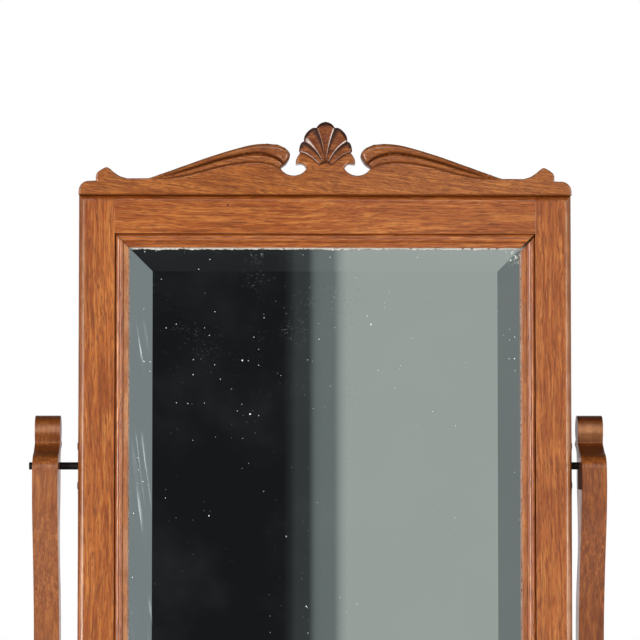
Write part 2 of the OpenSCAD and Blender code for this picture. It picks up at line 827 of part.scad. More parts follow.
// The upper reed of a scroll, above its groove
module scroll_reed() {
    polygon(concat(
        smooth([for (i = [0 : 10]) SCROLL_TOP[i]], scroll_steps),
        smooth(SCROLL_GROOVE, scroll_steps)));
}

// Height of the shell's carved face above the field
function shell_rise(a, u) = let (flute = 1 - pow(2 * lobe_at(a), 2))
    shell_t * (0.45 + 0.55 * sin(min(u, 0.75) * 120)) * (u > 0.9 ? 0.72 : 1)
    - 1.8 * flute * (1 - u * 0.3) - shell_t * 0.25 * pow(abs(a) / SHELL_END, 2);

// The shell, a closed form of rays and rings with a flat back
module crest_shell() {
    rays = 48;
    rings = 8;
    row = rings + 1;
    span = SHELL_END - 4;
    ray = function (i) -span + 2 * span * i / rays;
    place = function (i, j) let (a = ray(i), u = j / rings)
        shell_point(a, SHELL_START + (shell_edge(a) - SHELL_START) * u);
    face = [for (i = [0 : rays]) for (j = [0 : rings]) let (p = place(i, j))
        [p[0], crest_y - shell_rise(ray(i), j / rings), frame_top + p[1]]];
    back = [for (i = [0 : rays]) for (j = [0 : rings]) let (p = place(i, j))
        [p[0], crest_y, frame_top + p[1]]];
    n = len(face);
    color(OAK_DARK) at_pivot() polyhedron(points = concat(face, back), faces = concat(
        [for (i = [0 : rays - 1]) for (j = [0 : rings - 1]) let (k = i * row + j)
            each [[k, k + 1, k + row + 1], [k, k + row + 1, k + row]]],
        [for (i = [0 : rays - 1]) for (j = [0 : rings - 1]) let (k = n + i * row + j)
            each [[k, k + row + 1, k + 1], [k, k + row, k + row + 1]]],
        [for (i = [0 : rays - 1]) let (k = i * row)
            each [[k, k + row, n + k + row], [k, n + k + row, n + k]]],
        [for (i = [0 : rays - 1]) let (k = i * row + rings)
            each [[k, n + k, n + k + row], [k, n + k + row, k + row]]],
        [for (j = [0 : rings - 1]) each [[j, n + j, n + j + 1], [j, n + j + 1, j + 1]]],
        [for (j = [0 : rings - 1]) let (k = rays * row + j)
            each [[k, k + 1, n + k + 1], [k, n + k + 1, n + k]]]));
}

module crest_dowels() {
    color(OAK_PALE) at_pivot() crest_dowel_set(0);
}

// ---- Pivots ----

module pivot_plate(s) {
    color(IRON) at_pivot() difference() {
        translate([s * (frame_w / 2 - plate_t / 2), 0, 0])
            cube([plate_t, plate_w, plate_l], center = true);
        rod_x(-frame_w, frame_w, pin_d + 2 * run_gap);
        for (k = [-1, 1]) translate([0, 0, k * plate_pitch / 2]) rod_x(-frame_w, frame_w, 3.1);
    }
}

module pivot_plate_left() pivot_plate(-1);
module pivot_plate_right() pivot_plate(1);

module pivot_plate_screws() {
    color(IRON) at_pivot() for (s = [0, 1]) mirror([s, 0, 0])
        for (k = [-1, 1]) translate([0, 0, k * plate_pitch / 2]) {
            rod_x(frame_w / 2 - 12, frame_w / 2 + e, 3);
            rod_x(frame_w / 2, frame_w / 2 + screw_proud, 6.5);
        }
}

// A pin through an arm into its stile, with a slot for a screwdriver in its outer end
module pivot_pin(s, out) {
    outer = arm_in + arm_t + out - s * mirror_shift;
    color(IRON) at_pivot() mirror([s > 0 ? 0 : 1, 0, 0]) difference() {
        rod_x(frame_w / 2 - pin_in + seat, outer, pin_d);
        translate([outer, 0, 0]) cube([2, 1.2, pin_d + 1], center = true);
    }
}

module pivot_pin_left() pivot_pin(-1, pin_out_left);
module pivot_pin_right() pivot_pin(1, pin_out_right);

// ---- Drawer ----

module drawer_front() {
    color(OAK) difference() {
        box_at(-drawer_w / 2, board_front, drawer_z0 + front_gap,
            drawer_w / 2, board_front + drawer_t, drawer_z1 - front_gap);
        drawer_floor(fit);
    }
}

module drawer_side(s) {
    color(OAK_PALE) difference() {
        box_at(s > 0 ? drawer_half - board_t : -drawer_half, board_front + drawer_t, drawer_base,
            s > 0 ? drawer_half : -drawer_half + board_t, board_front + drawer_t + drawer_l,
            drawer_base + drawer_h - 8);
        drawer_floor(fit);
    }
}

module drawer_side_left() drawer_side(-1);
module drawer_side_right() drawer_side(1);

module drawer_back() {
    color(OAK_PALE) difference() {
        box_at(-drawer_half + board_t, board_front + drawer_t + drawer_l - board_t, drawer_base + 2,
            drawer_half - board_t, board_front + drawer_t + drawer_l, drawer_base + drawer_h - 14);
        drawer_floor(fit);
    }
}

// The drawer's bottom, grown by a clearance to cut the grooves that hold it
module drawer_floor(grow) {
    into = board_t / 2;
    box_at(-drawer_half + board_t - into - grow, board_front + drawer_t - into - grow,
        drawer_base + 7 - grow, drawer_half - board_t + into + grow,
        board_front + drawer_t + drawer_l - board_t + into + grow, drawer_base + 7 + floor_t + grow);
}

module drawer_bottom() {
    color(OAK_PALE) drawer_floor(0);
}

module pull_plates() {
    color(BRASS) for (s = [-1, 1]) translate([s * pull_x, 0, pull_z]) difference() {
        union() {
            slab_y(board_front - pull_t, pull_t) pull_face();
            for (k = [-1, 1]) translate([k * ear_pitch / 2, 0, 0]) {
                box_at(-ear_w / 2, pull_y, -3, ear_w / 2, board_front - pull_t + e, 3);
                translate([-ear_w / 2, pull_y, 0]) rod_x(0, ear_w, 6);
            }
        }
        translate([0, pull_y, 0]) rod_x(-pull_w, pull_w, bail_pin_d + 2 * run_gap);
    }
}

// A back plate with lobed ends
module pull_face() {
    translate([-ear_pitch / 2, -pull_h / 3]) square([ear_pitch, pull_h * 2 / 3]);
    for (k = [-1, 1]) translate([k * (pull_w - pull_h) / 2, 0]) circle(d = pull_h);
}

// A bail: a flat bow whose two pins turn in the ears' bores
module pull_bail(s) {
    out = ear_pitch / 2 + ear_w / 2 + seat;
    color(BRASS) translate([s * pull_x, pull_y, pull_z]) {
        slab_y(-bail_t / 2, bail_t) difference() {
            union() {
                translate([-out - bail_t, -bail_l]) square([2 * (out + bail_t), bail_l]);
                for (k = [-1, 1]) translate([k * (out + bail_t / 2), 0]) circle(d = bail_t);
            }
            translate([-out, -bail_l + bail_t]) square([2 * out, 2 * bail_l]);
        }
        for (k = [0, 1]) mirror([k, 0, 0]) rod_x(ear_pitch / 2 - ear_w / 2, out + e, bail_pin_d);
    }
}

module pull_bail_left() pull_bail(-1);
module pull_bail_right() pull_bail(1);

// ---- Door ----

// Cuts for the hinges; side is -1 in the post and 1 in the door
module hinge_gains(side) {
    for (z = hinge_z) translate([hinge_x, hinge_y, z]) {
        cylinder(d = barrel_d + 1, h = hinge_l + 2 * pin_head_t + 2, center = true);
        translate([side > 0 ? leaf_face : -leaf_face - leaf_t, 0, -hinge_l / 2])
            cube([leaf_t, barrel_d / 2 + knuckle_gap + leaf_w, hinge_l]);
    }
}

// One leaf with its knuckles; side is -1 on the post and 1 on the door
module hinge_leaf(side) {
    start = barrel_d / 2 + knuckle_gap;
    pitch = knuckle_l + knuckle_gap;
    difference() {
        union() {
            translate([side > 0 ? leaf_face : -leaf_face - leaf_t, start, -hinge_l / 2])
                cube([leaf_t, leaf_w, hinge_l]);
            for (k = side > 0 ? [0] : [-1, 1]) translate([0, 0, k * pitch]) {
                cylinder(d = barrel_d, h = knuckle_l, center = true);
                translate([side > 0 ? leaf_face : -leaf_face - leaf_t, 0, -knuckle_l / 2])
                    cube([leaf_t, start + e, knuckle_l]);
            }
        }
        cylinder(d = hinge_pin_d + 2 * run_gap, h = hinge_l + 2, center = true);
    }
}

module hinge_leaves_case() {
    color(BRASS) for (z = hinge_z) translate([hinge_x, hinge_y, z]) hinge_leaf(-1);
}

module hinge_leaves_door() {
    color(BRASS) for (z = hinge_z) translate([hinge_x, hinge_y, z]) hinge_leaf(1);
}

module hinge_pins() {
    color(BRASS) for (z = hinge_z) translate([hinge_x, hinge_y, z]) {
        cylinder(d = hinge_pin_d, h = hinge_l, center = true);
        for (k = [-1, 1]) translate([0, 0, k * (hinge_l + pin_head_t) / 2])
            cylinder(d = barrel_d - 1, h = pin_head_t, center = true);
    }
}

// The door's panel, grown by a clearance to cut the grooves that hold it
module panel_blank(grow) {
    half_pw = door_w / 2 - door_frame + groove;
    half_ph = door_h / 2 - door_frame + groove;
    box_at(-half_pw - grow, board_front + door_t / 2 - panel_t / 4 - grow, door_mid - half_ph - grow,
        half_pw + grow, board_front + door_t / 2 + panel_t / 4 + grow, door_mid + half_ph + grow);
}

module door_panel() {
    field = door_frame + 14;
    color(OAK) union() {
        panel_blank(0);
        box_at(-door_w / 2 + field, board_front + door_t / 2 - panel_t / 4 - 3,
            door_mid - door_h / 2 + field, door_w / 2 - field, board_front + door_t / 2,
            door_mid + door_h / 2 - field);
    }
}

module door_stile(s) {
    color(OAK) difference() {
        box_at(s > 0 ? door_w / 2 - door_frame : -door_w / 2, board_front, door_mid - door_h / 2,
            s > 0 ? door_w / 2 : -door_w / 2 + door_frame, door_back, door_mid + door_h / 2);
        panel_blank(fit);
        if (s < 0) hinge_gains(1);
        if (s > 0) translate([catch_x, 0, door_mid])
            rod_y(board_front - 1, door_back + 1, spindle_d + 2 * run_gap);
    }
}

module door_stile_left() door_stile(-1);
module door_stile_right() door_stile(1);

module door_rail(up) {
    z = door_mid + up * (door_h - door_frame) / 2;
    color(OAK) difference() {
        box_at(-door_w / 2 + door_frame, board_front, z - door_frame / 2,
            door_w / 2 - door_frame, door_back, z + door_frame / 2);
        panel_blank(fit);
    }
}

module door_top_rail() door_rail(1);
module door_bottom_rail() door_rail(-1);

// Knob, spindle and tongue of the catch, in one piece; the tongue hangs down when the catch is open
module catch_knob() {
    knob_l = 17;
    color(BRASS) translate([catch_x, 0, door_mid]) {
        translate([0, board_front - seat, 0]) rotate([90, 0, 0]) rotate_extrude()
            polygon(concat([[0, 0], [catch_d * 0.32, 0], [catch_d * 0.24, 4]],
                arc([catch_d / 2 - 4, knob_l - 4], 4, -60, 90, 8), [[0, knob_l]]));
        rod_y(board_front - seat - e, tongue_y + tongue_t, spindle_d);
        slab_y(tongue_y, tongue_t) {
            translate([-tongue_w / 2, -tongue_l]) square([tongue_w, tongue_l]);
            circle(d = tongue_w);
        }
    }
}

// The slot in the right post that the tongue turns into
module tongue_mortise() {
    translate([post_x - 1, tongue_y - seat, door_mid - tongue_l * 0.8])
        cube([tongue_l - (post_x - catch_x) + 3, tongue_t + 2 * seat, tongue_l * 0.8 + tongue_w / 2 + 2]);
}

leg_front_left();
leg_front_right();
leg_back_left();
leg_back_right();
side_panel_left();
side_panel_right();
back_panel();
case_bottom();
drawer_divider();
front_top_rail();
apron_front();
apron_left();
apron_right();
drawer_guides();
top_board();
lower_shelf();
cupboard_shelf();
shelf_cleats();
arm_left();
arm_right();
arm_cross_rail();
arm_screws();
hinge_leaves_case();
hinge_pins();
mirror_stile_left();
mirror_stile_right();
mirror_top_rail();
mirror_bottom_rail();
glass_bead_top();
glass_bead_bottom();
glass_bead_left();
glass_bead_right();
mirror_glass();
mirror_back_board();
back_board_screws();
crest_board();
crest_shell();
crest_dowels();
pivot_plate_left();
pivot_plate_right();
pivot_plate_screws();
pivot_pin_left();
pivot_pin_right();
drawer_front();
drawer_side_left();
drawer_side_right();
drawer_back();
drawer_bottom();
pull_plates();
pull_bail_left();
pull_bail_right();
door_stile_left();
door_stile_right();
door_top_rail();
door_bottom_rail();
door_panel();
hinge_leaves_door();
catch_knob();
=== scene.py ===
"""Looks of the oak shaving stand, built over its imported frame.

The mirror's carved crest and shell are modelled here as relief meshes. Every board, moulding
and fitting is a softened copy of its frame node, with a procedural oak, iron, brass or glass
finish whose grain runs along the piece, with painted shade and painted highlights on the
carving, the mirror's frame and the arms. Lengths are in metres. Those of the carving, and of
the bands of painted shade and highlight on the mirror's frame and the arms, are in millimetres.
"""
import json
import logging
import math
from collections import Counter
from collections.abc import Callable, Iterable, Mapping
from dataclasses import dataclass, field
from enum import Enum
from functools import reduce

import bmesh
import bpy
import numpy as np
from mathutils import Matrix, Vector
from mathutils.geometry import delaunay_2d_cdt


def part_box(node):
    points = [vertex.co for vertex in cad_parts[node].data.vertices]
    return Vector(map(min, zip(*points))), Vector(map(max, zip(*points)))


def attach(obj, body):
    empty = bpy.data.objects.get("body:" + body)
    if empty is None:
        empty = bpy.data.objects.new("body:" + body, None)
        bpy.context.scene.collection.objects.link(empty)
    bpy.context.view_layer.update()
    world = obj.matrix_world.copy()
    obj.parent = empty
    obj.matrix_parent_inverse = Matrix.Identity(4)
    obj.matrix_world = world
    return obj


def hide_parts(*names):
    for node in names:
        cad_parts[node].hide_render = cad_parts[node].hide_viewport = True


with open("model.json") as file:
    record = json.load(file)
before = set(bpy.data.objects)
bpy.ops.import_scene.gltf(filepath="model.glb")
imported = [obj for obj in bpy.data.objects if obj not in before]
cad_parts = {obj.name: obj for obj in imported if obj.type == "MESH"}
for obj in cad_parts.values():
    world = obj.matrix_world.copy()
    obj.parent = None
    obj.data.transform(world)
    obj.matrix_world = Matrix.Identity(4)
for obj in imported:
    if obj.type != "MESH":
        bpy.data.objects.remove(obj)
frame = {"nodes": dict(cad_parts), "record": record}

LOG = logging.getLogger("shaving_stand")
MM = 0.001
BOARD_STEP = (0.37, 0.61, 0.23)  # metres through the log from one board to the next

Point = tuple[float, float]
Place = tuple[float, float, float]
Tint = tuple[float, float, float]
Socket = bpy.types.NodeSocket
Values = Mapping[str, object] | Iterable[object]

WHITE: Tint = (1.0, 1.0, 1.0)


class Axis(Enum):
    """The direction in which a board's grain runs."""

    X = 0
    Y = 1
    Z = 2


class Side(Enum):
    """A side of a node's box, as its axis and the way inwards from it."""

    LEFT = (0, 1)
    RIGHT = (0, -1)
    TOP = (2, -1)
    BOTTOM = (2, 1)

    def gap(self, node: str) -> Callable[[Vector], float]:
        """How far a place lies inside this side of a node's box.

        Args:
            node: The node.

        Returns:
            A function from a place to its distance in millimetres.
        """
        axis, inwards = self.value
        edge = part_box(node)[0 if inwards > 0 else 1][axis]
        return lambda place: (place[axis] - edge) * inwards / MM

    @classmethod
    def outer_gap(cls, node: str) -> Callable[[Vector], float]:
        """The same for the side that a node's name ends in, such as glass_bead_left."""
        return cls[node.rsplit("_", 1)[1].upper()].gap(node)


# ---------------------------------------------------------------------------------------------
# Node helpers


def tint(*screen: float) -> Tint:
    """Turns a colour as seen on screen into linear light, by the sRGB curve.

    Args:
        *screen: Red, green and blue, 0 to 255.

    Returns:
        The three linear values, 0 to 1.
    """
    shares = [c / 255.0 for c in screen]
    return tuple(c / 12.92 if c <= 0.04045 else ((c + 0.055) / 1.055) ** 2.4 for c in shares)


@dataclass
class NodeSheet:
    """Adds and links shader nodes in one tree."""

    tree: bpy.types.NodeTree
    spacing: int = 190

    def add(self, kind: str, **settings: object) -> bpy.types.Node:
        """Adds a node beside the last one.

        Args:
            kind: The node's Blender type.
            **settings: Attributes to set on it.

        Returns:
            The new node.
        """
        made = self.tree.nodes.new(kind)
        for name, value in settings.items():
            setattr(made, name, value)
        made.location = (len(self.tree.nodes) * self.spacing, 0)
        return made

    def feed(self, value: object, into: Socket) -> None:
        """Links a socket to an input, or sets a plain value on it.

        Args:
            value: The socket, number, vector or colour.
            into: The input.
        """
        if isinstance(value, Socket):
            self.tree.links.new(value, into)
        else:
            into.default_value = (*value, 1.0) if into.type == "RGBA" else value

    def put(self, node: bpy.types.Node, values: Values) -> None:
        """Feeds several inputs of a node.

        Args:
            node: The node.
            values: What its inputs are fed, by their names or else in order.
        """
        pairs = values.items() if isinstance(values, Mapping) else enumerate(values)
        for key, value in pairs:
            self.feed(value, node.inputs[key])

    def work(self, kind: str, values: Values, **settings: object) -> bpy.types.NodeOutputs:
        """Adds a node and feeds its inputs.

        Args:
            kind: The node's Blender type.
            values: What its inputs are fed, by their names or else in order.
            **settings: Attributes to set on it.

        Returns:
            Its outputs.
        """
        made = self.add(kind, **settings)
        self.put(made, values)
        return made.outputs

    def math(self, operation: str, *values: object, clamp: bool = False) -> Socket:
        """Works something out of numbers or sockets, and may hold it between 0 and 1."""
        return self.work("ShaderNodeMath", values, operation=operation, use_clamp=clamp)[0]

    def times(self, *values: object) -> Socket:
        """The product of the values."""
        return reduce(lambda a, b: self.math("MULTIPLY", a, b), values)

    def largest(self, *values: object) -> Socket:
        """The largest of the values."""
        return reduce(lambda a, b: self.math("MAXIMUM", a, b), values)

    def noise(self, vector: Socket, scale: float, detail: float = 2.0, roughness: float = 0.5,
              distortion: float = 0.0) -> Socket:
        """Adds noise over a vector.

        Args:
            vector: Where it is sampled.
            scale: Features per metre of that vector.
            detail: Octaves.
            roughness: Strength of the finer octaves.
            distortion: How far it is warped.

        Returns:
            Its value.
        """
        values = {"Vector": vector, "Scale": scale, "Detail": detail, "Roughness": roughness,
                  "Distortion": distortion}
        return self.work("ShaderNodeTexNoise", values, noise_dimensions="3D")[0]

    def stretch(self, vector: Socket, by: Place, shift: object = (0.0, 0.0, 0.0)) -> Socket:
        """A vector scaled along each axis and then shifted."""
        return self.work("ShaderNodeVectorMath", (vector, by, shift), operation="MULTIPLY_ADD")[0]

    def length(self, vector: Socket) -> Socket:
        """The length of a vector."""
        return self.work("ShaderNodeVectorMath", (vector,), operation="LENGTH")["Value"]

    def mapping(self, vector: Socket, values: Mapping[str, Place]) -> Socket:
        """A vector moved, turned or scaled, by the names of a Mapping node's inputs."""
        return self.work("ShaderNodeMapping", {"Vector": vector, **values})[0]

    def ramp(self, value: Socket, low: float, high: float, most: object = 1.0) -> Socket:
        """A smooth mask over a value, rising from low to high, or falling where low is above high.

        Args:
            value: What it follows.
            low: Where it is 0.
            high: Where it is at its most.
            most: Its highest value, as a number or socket.

        Returns:
            The mask.
        """
        rises = low < high
        mask = self.work("ShaderNodeMapRange", {
            "Value": value, "From Min": min(low, high), "From Max": max(low, high),
            "To Min": 0.0 if rises else 1.0, "To Max": 1.0 if rises else 0.0},
            interpolation_type="SMOOTHSTEP")["Result"]
        return mask if most == 1.0 else self.times(mask, most)

    def blend(self, mask: object, a: object, b: object, mode: str = "MIX") -> Socket:
        """A colour a with a colour b over it, as far as the mask shows it."""
        values = {"Factor": mask, "A": a, "B": b}
        return self.work("ShaderNodeMix", values, data_type="RGBA", blend_type=mode)["Result"]

    def bump(self, height: Socket, strength: float, depth: float) -> Socket:
        """The normal bent by a height, with its strength and its depth in metres."""
        values = {"Strength": strength, "Distance": depth, "Height": height}
        return self.work("ShaderNodeBump", values)["Normal"]

    def where(self) -> Socket:
        """The place that is shaded, in the object's own frame."""
        return self.add("ShaderNodeTexCoord").outputs["Object"]

    def split(self, vector: Socket) -> bpy.types.NodeOutputs:
        """The three parts of a vector."""
        return self.work("ShaderNodeSeparateXYZ", (vector,))

    def attribute(self, name: str) -> Socket:
        """A value that the mesh carries under this name."""
        return self.add("ShaderNodeAttribute", attribute_name=name).outputs["Fac"]


class EffectGroup:
    """A shader node group with named inputs and outputs, built once."""

    def __init__(self, name: str, takes: Mapping[str, object], gives: Iterable[str]) -> None:
        """Makes a group with its sockets.

        Args:
            name: The group's name.
            takes: Its inputs: None for a vector, a number, or a colour.
            gives: Its outputs, which are numbers, apart from one called Color.
        """
        self.group = bpy.data.node_groups.new(name, "ShaderNodeTree")
        self.sheet = NodeSheet(self.group)
        self.start = self.sheet.add("NodeGroupInput")
        self.end = self.sheet.add("NodeGroupOutput")
        for title, value in takes.items():
            kind = "Vector" if value is None else "Float" if isinstance(value, float) else "Color"
            made = self.group.interface.new_socket(name=title, in_out="INPUT",
                                                   socket_type=f"NodeSocket{kind}")
            if value is not None:
                made.default_value = value if kind == "Float" else (*value, 1.0)
        for title in gives:
            kind = "Color" if title == "Color" else "Float"
            self.group.interface.new_socket(name=title, in_out="OUTPUT",
                                            socket_type=f"NodeSocket{kind}")

    def place(self, sheet: NodeSheet, values: Mapping[str, object]) -> bpy.types.NodeOutputs:
        """Adds this group to a material's sheet, feeds it and gives its outputs."""
        return sheet.work("ShaderNodeGroup", values, node_tree=self.group)


@dataclass(frozen=True)
class Figure:
    """Noise drawn out along the grain, with its features per metre along and across it."""

    along: float
    across: float
    detail: float = 2.0
    roughness: float = 0.5
    shift: Place = (0.0, 0.0, 0.0)

    def over(self, sheet: NodeSheet, vector: Socket) -> Socket:
        """Adds this noise over a vector that runs along the grain in X."""
        drawn = sheet.stretch(vector, (self.along, self.across, self.across), self.shift)
        return sheet.noise(drawn, 1.0, self.detail, self.roughness)


def build_grain_group() -> EffectGroup:
    """Makes the oak grain group. Its vector runs along the grain in X.

    Returns:
        The group, which gives a colour, a pore mask and a height.
    """
    made = EffectGroup(
        "oak_grain", {"Vector": None, "Pale": WHITE, "Middle": WHITE, "Deep": WHITE, "Pore": WHITE,
                      "Pore Amount": 0.8, "Mottle": 0.5}, ("Color", "Pores", "Height"))
    s, given = made.sheet, made.start.outputs
    place = given["Vector"]
    wander = (0.0, 0.022, 0.022)
    bent = s.stretch(Figure(4.0, 10.0).over(s, place), wander, place)
    tone = Figure(5.0, 34.0, 3.0, 0.6).over(s, place)
    rings = Figure(9.0, 300.0, 4.0, 0.66).over(s, bent)
    ticks = Figure(58.0, 560.0).over(s, bent)
    threads = Figure(34.0, 900.0, shift=(3.0, 7.0, 5.0)).over(s, bent)
    dashes = Figure(90.0, 900.0, 1.0, 0.4, (8.0, 2.0, 6.0)).over(s, bent)
    flecks = Figure(50.0, 640.0, shift=(9.0, 1.0, 2.0)).over(s, bent)
    mottle = Figure(14.0, 34.0, 2.0, 0.6, (4.0, 4.0, 4.0)).over(s, place)
    colour = given["Middle"]
    for noise, low, high, most, name in (
            (tone, 0.36, 0.70, 0.42, "Deep"), (rings, 0.46, 0.66, 0.62, "Deep"),
            (rings, 0.50, 0.34, 0.55, "Pale"), (flecks, 0.54, 0.68, 0.42, "Pale"),
            (ticks, 0.52, 0.64, 0.50, "Deep"), (mottle, 0.42, 0.74, given["Mottle"], "Deep")):
        colour = s.blend(s.ramp(noise, low, high, most), colour, given[name])
    pores = s.largest(s.ramp(threads, 0.53, 0.66, 0.62), s.ramp(dashes, 0.60, 0.70, 0.70))
    s.put(made.end, {
        "Color": s.blend(s.times(pores, given["Pore Amount"]), colour, given["Pore"]),
        "Pores": pores, "Height": s.math("SUBTRACT", s.times(ticks, -0.6), pores)})
    return made


def build_wear_group() -> EffectGroup:
    """Makes the wear group: rubbed edges and painted highlights, and handling marks.

    Returns:
        The group, which gives a mask of rubbed edges and painted highlights, and a grime mask.
    """
    made = EffectGroup("rubbed_edges", {"Vector": None, "Edge": 0.0, "Breakup": 0.5},
                       ("Rubbed", "Grime"))
    s, given = made.sheet, made.start.outputs
    place, breakup = given["Vector"], given["Breakup"]
    patch = s.noise(place, 38.0, 3.0, 0.6)
    fine = s.noise(place, 260.0, 2.0, 0.6)
    worn = s.math("ADD", s.times(patch, 0.75), s.times(fine, 0.25))
    softened = s.math("ADD", s.ramp(worn, 0.44, 0.60, breakup), s.math("SUBTRACT", 1.0, breakup))
    s.put(made.end, {"Rubbed": s.math("MULTIPLY", softened, given["Edge"], clamp=True),
                     "Grime": s.ramp(s.noise(place, 24.0, 4.0, 0.65), 0.52, 0.72)})
    return made


def build_speck_group() -> EffectGroup:
    """Makes the speck group: dust spots and short scratches on glass.

    Returns:
        The group, which gives a speck mask, a scratch mask and a haze mask.
    """
    made = EffectGroup("glass_specks", {"Vector": None}, ("Specks", "Scratches", "Haze"))
    s = made.sheet
    place = made.start.outputs["Vector"]
    moved = s.mapping(place, {"Location": (0.0, 0.0, -0.050)})
    clusters = s.ramp(s.noise(moved, 8.0, 3.0), 0.30, 0.62)
    spots = []
    for scale, radius, rare in ((52.0, 0.050, 0.30), (110.0, 0.075, 0.45), (210.0, 0.13, 0.70)):
        cells = s.work("ShaderNodeTexVoronoi", {"Vector": place, "Scale": scale}, feature="F1")
        chance, bright, _ = s.work("ShaderNodeSeparateColor", (cells["Color"],))
        kept = s.times(s.ramp(chance, rare, rare + 0.04), bright)
        spots.append(s.times(s.ramp(cells["Distance"], radius, radius * 0.35), kept))
    slant = s.mapping(moved, {"Rotation": (0.0, 0.14, 0.0)})
    lines = s.noise(s.stretch(slant, (240.0, 4.0, 9.0)), 1.0, distortion=0.3)
    patch = s.ramp(s.noise(moved, 11.0), 0.40, 0.58)
    speckle = s.ramp(s.noise(place, 900.0, 1.0), 0.60, 0.78)
    cloud = s.ramp(s.noise(place, 22.0, 3.0, 0.6), 0.42, 0.66)
    s.put(made.end, {"Specks": s.times(s.largest(*spots), clusters),
                     "Scratches": s.times(s.ramp(lines, 0.52, 0.80), patch),
                     "Haze": s.times(speckle, cloud, 0.45)})
    return made


# ---------------------------------------------------------------------------------------------
# Finishes


@dataclass
class EffectSet:
    """The node groups that the finishes share."""

    grain: EffectGroup
    wear: EffectGroup
    specks: EffectGroup


def new_material(name: str) -> tuple[bpy.types.Material, NodeSheet, bpy.types.Node]:
    """Makes a material with a Principled shader.

    Args:
        name: The material's name.

    Returns:
        The material, the sheet for its nodes, and its shader node.
    """
    made = bpy.data.materials.new(name)
    made.use_nodes = True
    return made, NodeSheet(made.node_tree), made.node_tree.nodes["Principled BSDF"]


@dataclass(frozen=True)
class OakFinish:
    """Golden oak under old shellac."""

    name: str
    pale: Tint
    middle: Tint
    deep: Tint
    pore: Tint
    rubbed: Tint
    pore_amount: float = 0.85
    mottle: float = 0.30
    gloss: float = 0.38
    coat: float = 0.7
    bump: float = 0.30
    # how strongly rubbed edges and painted highlights show
    edge: float = 0.30
    slant: float = 0.0
    film_rough: float = 0.13
    fineness: float = 1.0
    grime: float = 0.22
    pore_rough: float = 0.25
    grime_rough: float = 0.10
    hollow_bare: float = 2.5
    pore_bare: float = 0.6
    pore_depth: float = 0.0004
    film_ior: float = 1.65
    shine: float = 0.20
    nail_size: Point = (0.0013, 0.0006)  # radius where a filled hole ends, and where it is darkest
    stain_soft: float = 0.0003

    def material(self, effects: EffectSet, axis: Axis, seed: int, nail: Point | None = None,
                 stain: tuple[Vector, Vector] | None = None) -> bpy.types.Material:
        """Makes this finish for one board.

        Args:
            effects: The shared node groups.
            axis: The board's grain direction.
            seed: The board's place in the log.
            nail: Where a filled nail hole lies, along X and Z, if the board has one.
            stain: Two corners of a dark patch, if the board has one.

        Returns:
            The material.
        """
        made, sheet, shader = new_material(f"{self.name}_{axis.name.lower()}_{seed}")
        place = self.grain_place(sheet, axis, seed)
        grain = effects.grain.place(sheet, {
            "Vector": place, "Pale": self.pale, "Middle": self.middle, "Deep": self.deep,
            "Pore": self.pore, "Pore Amount": self.pore_amount, "Mottle": self.mottle})
        wear = effects.wear.place(sheet, {"Vector": place, "Edge": sheet.attribute("edge")})
        # Painted shade in grooves, below the crest, on the knobs and in the shell's flutes darkens
        # the wood towards its pore colour and takes its coat off.
        hollow = sheet.attribute("hollow")
        # Rubbed edges and painted highlights share one tint, then random grime, then painted shade.
        colour = sheet.blend(sheet.times(wear["Rubbed"], self.edge), grain["Color"], self.rubbed)
        colour = sheet.blend(sheet.times(wear["Grime"], self.grime), colour, self.deep)
        colour = sheet.blend(hollow, colour, self.pore)
        if nail is not None:
            colour = sheet.blend(self.nail_mask(sheet, nail), colour, self.pore)
        rough = sheet.math("ADD", sheet.times(grain["Pores"], self.pore_rough),
                           sheet.times(wear["Grime"], self.grime_rough))
        bare = sheet.largest(sheet.times(hollow, self.hollow_bare),
                             sheet.times(grain["Pores"], self.pore_bare))
        if stain is not None:
            dark = self.stain_mask(sheet, *stain)
            colour = sheet.blend(dark, colour, self.pore)
            rough = sheet.math("ADD", rough, dark)
            bare = sheet.largest(bare, dark)
        sheet.put(shader, {
            "Base Color": colour, "Roughness": sheet.math("ADD", rough, self.gloss, clamp=True),
            "Normal": sheet.bump(grain["Height"], self.bump, self.pore_depth),
            "Coat Roughness": self.film_rough, "Coat IOR": self.film_ior,
            "Specular IOR Level": self.shine})
        if self.coat > 0:
            covered = sheet.math("SUBTRACT", 1.0, bare, clamp=True)
            sheet.put(shader, {"Coat Weight": sheet.times(covered, self.coat)})
        return made

    def grain_place(self, sheet: NodeSheet, axis: Axis, seed: int) -> Socket:
        """A coordinate whose X runs along the board's grain.

        Args:
            sheet: Where the nodes go.
            axis: The grain's direction.
            seed: Moves the board to another part of the log.

        Returns:
            The coordinate.
        """
        turn = {Axis.X: (0.0, -self.slant, 0.0), Axis.Y: (0.0, 0.0, -math.pi / 2),
                Axis.Z: (0.0, math.pi / 2, 0.0)}[axis]
        return sheet.mapping(sheet.where(), {
            "Rotation": turn, "Location": tuple(seed * step for step in BOARD_STEP),
            "Scale": (self.fineness,) * 3})

    def stain_mask(self, sheet: NodeSheet, low: Vector, high: Vector) -> Socket:
        """A mask of a dark patch.

        Args:
            sheet: Where the nodes go.
            low: The patch's lowest corner.
            high: Its highest corner.

        Returns:
            The mask.
        """
        soft = self.stain_soft
        return sheet.times(*(
            sheet.times(sheet.ramp(part, start - soft, start + soft),
                        sheet.ramp(part, end + soft, end - soft))
            for part, start, end in zip(sheet.split(sheet.where()), low, high)))

    def nail_mask(self, sheet: NodeSheet, nail: Point) -> Socket:
        """A mask of the filled nail hole, from its place along X and Z."""
        away = sheet.stretch(sheet.where(), (1.0, 0.0, 1.0), (-nail[0], 0.0, -nail[1]))
        return sheet.ramp(sheet.length(away), *self.nail_size)


